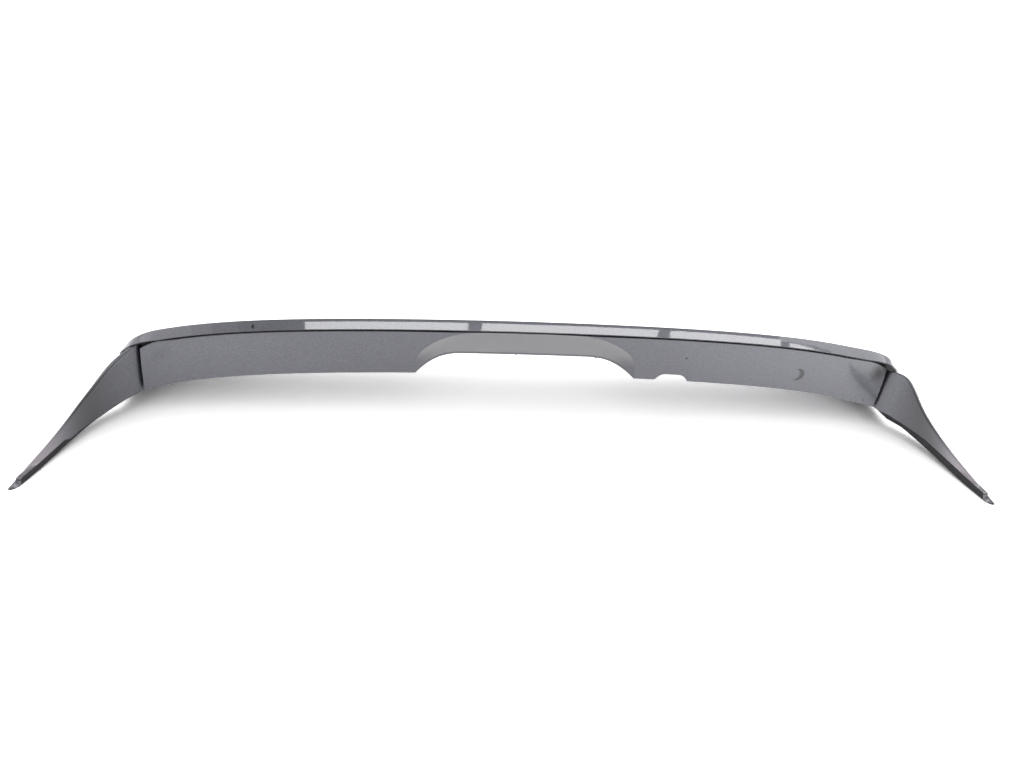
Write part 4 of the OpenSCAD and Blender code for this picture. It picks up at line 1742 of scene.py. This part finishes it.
class PieceTree(ABC):
    """Geometry nodes that turn points or lines into one plain mesh with its material."""

    inputs: dict[str, str] = {}

    def __init__(self, name: str) -> None:
        """Builds the tree with its named inputs.

        Args:
            name: Name of the tree.
        """
        self.tree = bpy.data.node_groups.new(name, "GeometryNodeTree")
        face = self.tree.interface
        face.new_socket("Geometry", in_out="INPUT", socket_type="NodeSocketGeometry")
        self.sockets = {
            key: face.new_socket(key, in_out="INPUT", socket_type="NodeSocket" + kind).identifier
            for key, kind in {**self.inputs, "Finish": "Material"}.items()
        }
        face.new_socket("Geometry", in_out="OUTPUT", socket_type="NodeSocketGeometry")
        add = partial(add_node, self.tree)
        start = self.tree.nodes.new("NodeGroupInput").outputs
        real = add("GeometryNodeRealizeInstances", (self.shape(add, start),))
        dressed = add("GeometryNodeSetMaterial", {"Geometry": real, "Material": start["Finish"]})
        add("NodeGroupOutput", (dressed,))

    @abstractmethod
    def shape(self, add: Adder, start: Any) -> Socket:
        """Adds the nodes that make the shape from the inputs and returns their socket."""

    def build(
        self, name: str, points: np.ndarray, edges: Sequence[tuple[int, int]], values: dict[str, Any]
    ) -> bpy.types.Object:
        """Runs the nodes on points and lines.

        Args:
            name: Name of the new piece.
            points: Places in metres.
            edges: Numbers of the points that each line joins.
            values: Value of each named input.

        Returns:
            The piece as a plain mesh.
        """
        mesh = bpy.data.meshes.new(name + "_points")
        mesh.from_pydata([tuple(p) for p in points], edges, [])
        piece = bpy.data.objects.new(name, mesh)
        bpy.context.scene.collection.objects.link(piece)
        modifier = piece.modifiers.new("shape", "NODES")
        modifier.node_group = self.tree
        for key, value in values.items():
            modifier[self.sockets[key]] = value
        piece.update_tag()
        plain(piece)
        return piece


class RepeatTree(PieceTree):
    """Geometry nodes that put a part at each point."""

    inputs = {"Part": "Object", "Size": "Float"}

    def shape(self, add: Adder, start: Any) -> Socket:
        """Adds the nodes that place the part and returns their socket.

        Args:
            add: Function that adds a node.
            start: Sockets of the named inputs.

        Returns:
            Socket of the shape.
        """
        part = add("GeometryNodeObjectInfo", {"Object": start["Part"]}, "Geometry")
        return add("GeometryNodeInstanceOnPoints", {
            "Points": start["Geometry"], "Instance": part, "Scale": start["Size"]})

    def copies(
        self, name: str, spots: np.ndarray, part: bpy.types.Object, finish: bpy.types.Material
    ) -> bpy.types.Object:
        """Puts the part at the spots and removes the part itself.

        Args:
            name: Name of the new piece.
            spots: Places in metres.
            part: The part's shape.
            finish: Material of the piece.

        Returns:
            The piece as a plain mesh.
        """
        piece = self.build(name, spots, [], {"Part": part, "Size": 1.0, "Finish": finish})
        bpy.data.objects.remove(part)
        return piece


class SweepTree(PieceTree):
    """Geometry nodes that draw a rounded flat profile along a line of points."""

    inputs = {"Width": "Float", "Height": "Float", "Rounding": "Float"}

    def shape(self, add: Adder, start: Any) -> Socket:
        """Adds the nodes that sweep the profile and returns their socket.

        Args:
            add: Function that adds a node.
            start: Sockets of the named inputs.

        Returns:
            Socket of the shape.
        """
        line = add("GeometryNodeMeshToCurve", (start["Geometry"],))
        upright = add("GeometryNodeSetCurveNormal", {"Curve": line}, mode="Z_UP")
        box = add("GeometryNodeCurvePrimitiveQuadrilateral", {
            "Width": start["Width"], "Height": start["Height"]})
        rounded = add("GeometryNodeFilletCurve", {
            "Curve": box, "Radius": start["Rounding"], "Count": 4}, mode="POLY")
        return add("GeometryNodeCurveToMesh", {
            "Curve": upright, "Profile Curve": rounded, "Fill Caps": True})


def plain(piece: bpy.types.Object, sharp_deg: float = 32) -> None:
    """Replaces a piece's mesh by its evaluated mesh and removes its modifiers.

    Args:
        piece: The piece, which is changed in place.
        sharp_deg: Angle above which an edge is shaded as a crease.
    """
    graph = bpy.context.evaluated_depsgraph_get()
    mesh = bpy.data.meshes.new_from_object(piece.evaluated_get(graph), depsgraph=graph)
    piece.modifiers.clear()
    piece.data = mesh
    shade(mesh, sharp_deg)


@dataclass(frozen=True)
class Fasteners:
    """Studs, gaskets, pins, clips, screws and seal on the hidden side."""

    form: WingForm
    shell: LowerMoulding
    stud_x: tuple[float, float] = (195, 400)
    pin_x: float = 300
    stud_y: float = 226
    pad_d: float = 30
    pad_h: float = 1.5
    stud_d: float = 6
    stud_len: float = 18
    collar_d: float = 16
    collar_t: float = 2
    gasket_t: float = 5
    pin_d: float = 8
    pin_len: float = 14
    clip_d: float = 6
    clip_len: float = 5
    clip_barb: float = 4
    clip_count: int = 5
    clip_pitch: float = 118
    clip_set: float = 26
    clip_pad_d: float = 18
    screw_d: float = 5
    screw_head_d: float = 11
    screw_y: float = 210
    screw_pitch: float = 32
    screw_set: float = 16
    tab_t: float = 3
    tab_w: float = 22
    seal_w: float = 7.4
    seal_h: float = 4.4
    bore_depth: float = 10
    screw_count: int = 2
    tab_over: float = 4.5
    tab_sides: int = 64
    tab_bore_gap: float = 0.3
    tab_gap: float = 0.2
    tab_sharp_deg: float = 30
    seal_round: float = 1.6
    seal_set: float = 5
    seal_end: float = 3
    seal_gap: float = 0.5
    seal_cuts: int = 160

    def pad_z(self, x: float, y: float) -> float:
        """Height of the pad's face at a fastener."""
        reach = self.pad_d / 2
        return min(self.shell.base_z(x + s * reach, y + reach) for s in (-1, 1)) - self.pad_h

    def spots(self, xs: Iterable[float], y: float) -> np.ndarray:
        """Places on the pads, in metres."""
        return self.form.place(np.array([(x, y, self.pad_z(x, y)) for x in xs]))

    def both(self, *xs: float) -> list[float]:
        """Distances on both sides of the middle."""
        return [-x for x in xs] + list(xs)

    def screw_spots(self, side: Side) -> np.ndarray:
        """Places of a fin's screws, at the tabs' lower face, in metres.

        Args:
            side: Side of the fin.

        Returns:
            The places.
        """
        x = self.form.body_half - self.screw_set
        ys = [self.screw_y + k * self.screw_pitch for k in range(self.screw_count)]
        points = [(side.value * x, y, self.tab_z(y)) for y in ys]
        return self.form.place(np.array(points))

    def tab_z(self, y: float) -> float:
        """Height of a screw tab's lower face."""
        return self.shell.base_z(self.form.body_half, y + self.tab_w / 2) - self.tab_gap - self.tab_t

    def stud(self) -> SmallPart:
        """M6 stud with a collar and a rolled thread.

        Returns:
            The part.
        """
        r, c, tip = self.stud_d / 2, self.collar_d / 2, -self.stud_len - self.collar_t
        profile = ((0, tip), (r - 1, tip), (r - 0.4, tip + 0.9), (r - 0.4, -self.collar_t),
                   (c - 0.4, -self.collar_t), (c, 0.4 - self.collar_t), (c, -0.05), (r, 0),
                   (r, self.bore_depth - 2), (0, self.bore_depth - 2))
        return SmallPart("stud", profile, (tip + 1, -self.collar_t - 0.2, r, 1.0))

    def gasket(self) -> SmallPart:
        """Foam ring round a stud's collar.

        Returns:
            The part.
        """
        r, hole, low = self.pad_d / 2 - 1, self.collar_d / 2 + 0.2, -self.gasket_t
        profile = ((hole, -0.1), (hole, low + 0.4), (hole + 0.4, low), (r - 0.6, low), (r, low + 0.6),
                   (r, -0.1), (hole, -0.1))
        return SmallPart("gasket", profile)

    def pin(self) -> SmallPart:
        """Moulded locating pin with a tapered lead.

        Returns:
            The part.
        """
        r, c, tip = self.pin_d / 2, self.collar_d / 2, -self.pin_len - self.collar_t
        profile = ((0, tip), (r / 2 - 0.3, tip), (r / 2, tip + 0.3), (r, tip + 3), (r, -self.collar_t),
                   (c - 0.4, -self.collar_t), (c, 0.4 - self.collar_t), (c, 0), (self.stud_d / 2, 0),
                   (self.stud_d / 2, self.bore_depth - 1), (0, self.bore_depth - 1))
        return SmallPart("pin", profile)

    def clip(self) -> SmallPart:
        """Push-in clip with a barbed head.

        Returns:
            The part.
        """
        r, c, low = self.clip_d / 2, self.clip_pad_d / 2 - 1, -self.clip_len
        tip = low - self.collar_t
        profile = ((0, tip), (r / 2, tip), (r + 1, tip + self.clip_barb),
                   (r - 0.2, tip + self.clip_barb + 0.4), (r - 0.2, -self.collar_t),
                   (c - 0.5, -self.collar_t), (c, 0.5 - self.collar_t), (c, -0.05), (r, 0),
                   (r, self.bore_depth - 1), (0, self.bore_depth - 1))
        return SmallPart("clip", profile)

    def screw(self) -> SmallPart:
        """Button-head screw with a socket and a thread.

        Returns:
            The part.
        """
        r, head, k = self.screw_d / 2, self.screw_head_d / 2, -0.7 * self.screw_d
        socket, end = 0.4 * self.screw_d, self.tab_t + self.bore_depth - 1
        profile = ((0, k + 2), (socket, k + 2), (socket, k), (head - 1.6, k), (head - 0.5, k + 0.8),
                   (head, -0.6), (head, 0), (r, 0), (r, end), (0, end))
        return SmallPart("screw", profile)

    def pad(self, diameter: float) -> SmallPart:
        """Round boss under a fastener, with a bore that the fastener fills."""
        r, deep = diameter / 2, self.bore_depth
        return SmallPart("pad", ((0, 0), (r - 0.6, 0), (r, 0.6), (r + 0.4, deep), (0, deep)))

    def tab(self, side: Side, y: float) -> tuple[np.ndarray, Faces]:
        """Screw tab of a fin, as points in metres and faces.

        Args:
            side: Side of the fin.
            y: Distance of the screw from the tips.

        Returns:
            Points in metres and faces.
        """
        x, z, half = self.form.body_half - self.screw_set, self.tab_z(y), self.tab_w / 2
        reach, hole = self.form.body_half + self.tab_over - x, self.screw_d / 2 + self.tab_bore_gap
        count = self.tab_sides
        rings: list[list[Point]] = [[], [], [], []]
        for k in range(count):
            a = 2 * math.pi * k / count
            c, s = math.cos(a), math.sin(a)
            far = half if c <= 0 else min(half / max(abs(s), TINY), reach / c)
            corners = (hole, 0), (far, 0), (far, self.tab_t), (hole, self.tab_t)
            for ring, (radius, up) in zip(rings, corners):
                ring.append(vec(side.value * (x + radius * c), y + radius * s, z + up))
        points = self.form.place(np.array([p for ring in rings for p in ring]))
        faces = []
        for ring in range(4):
            for k in range(count):
                a, b = ring * count + k, ring * count + (k + 1) % count
                up = ((ring + 1) % 4 - ring) * count
                faces.append((a, b, b + up, a + up))
        return points, faces

    def seal_line(self) -> np.ndarray:
        """Middle line of the leading edge seal, in metres.

        Returns:
            Points of the line.
        """
        line, end = [], self.form.body_half - self.seal_end
        for x in np.linspace(-end, end, self.seal_cuts):
            y = self.form.lead_at(x)[0] - self.form.skin_wall - 2 - self.seal_set
            line.append((x, y, self.shell.base_z(x, y) - self.seal_gap - self.seal_h / 2))
        return self.form.place(np.array(line))

    def build(self, finishes: Finishes) -> None:
        """Makes and dresses everything on the hidden side.

        Args:
            finishes: The materials.
        """
        repeat, sweep = RepeatTree("repeat_part"), SweepTree("sweep_profile")
        studs = self.spots(self.both(*self.stud_x), self.stud_y)
        pins = self.spots(self.both(self.pin_x), self.stud_y)
        middle = (self.clip_count - 1) / 2
        clip_xs = [(i - middle) * self.clip_pitch for i in range(self.clip_count)]
        clips = self.spots(clip_xs, self.form.depth - self.clip_set)
        pads = np.concatenate([studs, pins])
        names = [f"{side.word}_{place}" for side in Side for place in ("inner", "outer")]
        rows = (
            ("mounting_studs", studs, self.stud(), finishes.zinc, "stud_steel", [n + "_stud" for n in names]),
            ("stud_gaskets", studs, self.gasket(), finishes.foam, "gasket_foam",
             [n + "_gasket" for n in names]),
            ("locating_pins", pins, self.pin(), finishes.nylon, "pin_plastic",
             [f"{side.word}_locating_pin" for side in Side]),
            ("leading_edge_clips", clips, self.clip(), finishes.acetal, "clip_plastic", ["edge_clips"]),
            ("mounting_pads", pads, self.pad(self.pad_d), finishes.band, "body_paint", []),
            ("clip_pads", clips, self.pad(self.clip_pad_d), finishes.band, "body_paint", []),
        )
        for name, spots, part, finish, slot, nodes in rows:
            dress(repeat.copies(name, spots, part.shape(), finish), nodes)
        for side in Side:
            spots, part = self.screw_spots(side), self.screw().shape()
            screws = repeat.copies(f"{side.word}_screws", spots, part, finishes.zinc)
            dress(screws, [f"{side.word}_fin_screws"])
            for number in range(self.screw_count):
                points, faces = self.tab(side, self.screw_y + number * self.screw_pitch)
                name = f"{side.word}_screw_tab_{number + 1}"
                dress(mesh_piece(name, points, faces, self.tab_sharp_deg), (), finishes.skin)
        line = self.seal_line()
        seal = sweep.build("front_edge_seal", line, [(i, i + 1) for i in range(len(line) - 1)], {
            "Width": self.seal_w * MM, "Height": self.seal_h * MM, "Rounding": self.seal_round * MM,
            "Finish": finishes.foam})
        dress(seal, ["leading_edge_seal"])


@dataclass(frozen=True)
class Panel:
    """Soft overhead light panel, by its ends in metres and its radiance, where 1 looks white."""

    left: float
    right: float
    far_y: float = -0.40
    radiance: float = 10
    near_y: float = -0.62
    z: float = 2.0

    def build(self, name: str) -> None:
        """Adds the panel as a lamp that only reflections show.

        Args:
            name: Name of the lamp.
        """
        data = bpy.data.lights.new(name, "AREA")
        data.shape = "RECTANGLE"
        data.size, data.size_y = self.right - self.left, self.far_y - self.near_y
        data.energy = self.radiance * math.pi * data.size * data.size_y
        lamp = bpy.data.objects.new(name, data)
        lamp.location = ((self.left + self.right) / 2, (self.far_y + self.near_y) / 2, self.z)
        lamp.visible_camera = lamp.visible_diffuse = False
        bpy.context.scene.collection.objects.link(lamp)


@dataclass(frozen=True)
class Studio:
    """Floor, white surroundings, overhead panels and the camera.

    The ends of the first panels are where the lip's reflections end in the photograph, seen by
    the fitted camera and mirrored in the flat lip face at the panels' height. The others are
    what the fins and the ends of the band mirror.
    """

    panels: tuple[Panel, ...] = (
        Panel(-0.803, -0.083), Panel(-0.024, 0.739), Panel(0.795, 1.43), Panel(1.5, 2.1, -0.45),
        Panel(-9.0, -1.6, 1.2, 1.7, -0.6), Panel(-1.6, -1.4, 1.2, 1.15, -0.6),
        Panel(-1.4, -1.2, 1.2, 0.6, -0.6), Panel(1.4, 9.0, 1.2, 2.6, -0.43),
    )
    sky: float = 1.0
    horizon: float = 0.5
    sky_from: float = 0.0
    sky_full: float = 0.6
    ceiling: float = 0.3
    ceiling_from: float = 0.2
    ceiling_full: float = 0.55
    floor_size: float = 60
    floor_roughness: float = 0.9
    floor_albedo: float = 0.82
    floor_seen: float = 1.85
    floor_mirrored: float = 1.85
    floor_mirrored_right: float = 2.9
    floor_rise_from: float = 0.0
    floor_rise_to: float = 0.75
    place: tuple[float, float, float] = (-0.0754, -0.8027, 0.616)
    pitch_deg: float = 34.05
    roll_deg: float = -3.98
    yaw_deg: float = 4.54
    lens_mm: float = 25.97
    sensor_mm: float = 36
    clip_m: tuple[float, float] = (0.05, 60)

    def build(self) -> None:
        """Makes the whole studio."""
        self.camera()
        self.world()
        self.floor()
        for number, panel in enumerate(self.panels, 1):
            panel.build(f"overhead_panel_{number}")
        bpy.context.scene.view_settings.view_transform = "Standard"

    def camera(self) -> None:
        """Puts the camera where the photograph was taken."""
        pitch, roll, yaw = (math.radians(v) for v in (self.pitch_deg, self.roll_deg, self.yaw_deg))
        flat = math.cos(pitch)
        ahead = Vector((math.sin(yaw) * flat, math.cos(yaw) * flat, -math.sin(pitch)))
        level = Vector((math.cos(yaw), -math.sin(yaw), 0))
        down = ahead.cross(level)
        right = math.cos(roll) * level + math.sin(roll) * down
        low = math.cos(roll) * down - math.sin(roll) * level
        turn = Matrix((right, -low, -ahead)).transposed().to_4x4()
        data = bpy.data.cameras.new("camera")
        data.lens, data.sensor_width = self.lens_mm, self.sensor_mm
        data.clip_start, data.clip_end = self.clip_m
        camera = bpy.data.objects.new("camera", data)
        camera.matrix_world = Matrix.Translation(Vector(self.place)) @ turn
        bpy.context.scene.collection.objects.link(camera)
        bpy.context.scene.camera = camera

    def world(self) -> None:
        """White surroundings for the camera and for reflections, softer as a light."""
        world = bpy.data.worlds.new("white_surroundings")
        bpy.context.scene.world = world
        world.use_nodes = True
        world.node_tree.nodes.clear()
        add = partial(add_node, world.node_tree)
        glossy = add("ShaderNodeLightPath", out="Is Glossy Ray")
        seen = add("ShaderNodeMath", (self.seen(add), glossy), operation="MAXIMUM")
        aim = add("ShaderNodeTexCoord", out="Generated")
        up = add("ShaderNodeSeparateXYZ", (aim,), 2)
        lit = (up, self.sky_from, self.sky_full, self.horizon, self.sky)
        sky = add("ShaderNodeMapRange", lit, **SMOOTH)
        strength = add("ShaderNodeMapRange", (seen, 0, 1, sky, 1.0))
        dim = (up, self.ceiling_from, self.ceiling_full, 0, 1 - self.ceiling)
        ceiling = add("ShaderNodeMapRange", dim, **SMOOTH)
        ceiling = add("ShaderNodeMath", (ceiling, glossy), operation="MULTIPLY")
        level = add("ShaderNodeMath", (strength, ceiling), operation="SUBTRACT")
        back = add("ShaderNodeBackground", {"Color": (1, 1, 1, 1), "Strength": level})
        add("ShaderNodeOutputWorld", (back,))

    def seen(self, add: Adder) -> Socket:
        """Adds the share that is 1 for what the camera sees, also through clear pieces."""
        rays = [add("ShaderNodeLightPath", out=f"Is {kind} Ray") for kind in ("Camera", "Transmission")]
        return add("ShaderNodeMath", rays, operation="MAXIMUM")

    def floor(self) -> None:
        """Pale floor that keeps the soft shadow and runs out into white."""
        half = self.floor_size / 2
        corners = np.array([(-half, -half, 0), (half, -half, 0), (half, half, 0), (-half, half, 0)])
        floor = mesh_piece("floor", corners, [(0, 1, 2, 3)])
        material, add = new_material("matt_white_floor")
        coords = add("ShaderNodeTexCoord", out="Object")
        x = add("ShaderNodeSeparateXYZ", (coords,))
        rise = (x, self.floor_rise_from, self.floor_rise_to, self.floor_mirrored, self.floor_mirrored_right)
        mirrored = add("ShaderNodeMapRange", rise, **SMOOTH)
        shade = add("ShaderNodeMapRange", (self.seen(add), 0, 1, self.floor_albedo, self.floor_seen))
        glossy = add("ShaderNodeLightPath", out="Is Glossy Ray")
        shade = add("ShaderNodeMapRange", (glossy, 0, 1, shade, mirrored))
        surface = add("ShaderNodeBsdfPrincipled", {
            "Base Color": shade, "Roughness": self.floor_roughness, "Specular IOR Level": 0.0})
        add("ShaderNodeOutputMaterial", (surface,))
        floor.data.materials.append(material)


# Distance from the tip and height in millimetres, at each bend of the strips' upper edges.
STRIP_STEPS: dict[Side, tuple[tuple[float, float], ...]] = {
    Side.LEFT: ((0, 8.5), (76, 8.5), (82, 4.2), (104, 3), (122, 0)),
    Side.RIGHT: ((0, 9), (50, 10.5), (105, 10.5), (145, 4), (160, 2.2), (164, 1.4)),
}


def main() -> None:
    """Builds the spoiler and the studio in order."""
    logging.basicConfig(level=logging.INFO)
    Studio().build()
    finishes, form = Finishes(), WingForm()
    lower = LowerMoulding(form)
    SkinMoulding(form).build(finishes)
    lower.build(finishes)
    for side in Side:
        SideFin(form, side, STRIP_STEPS[side]).build(finishes)
    Fasteners(form, lower).build(finishes)


if __name__ == "__main__":
    main()
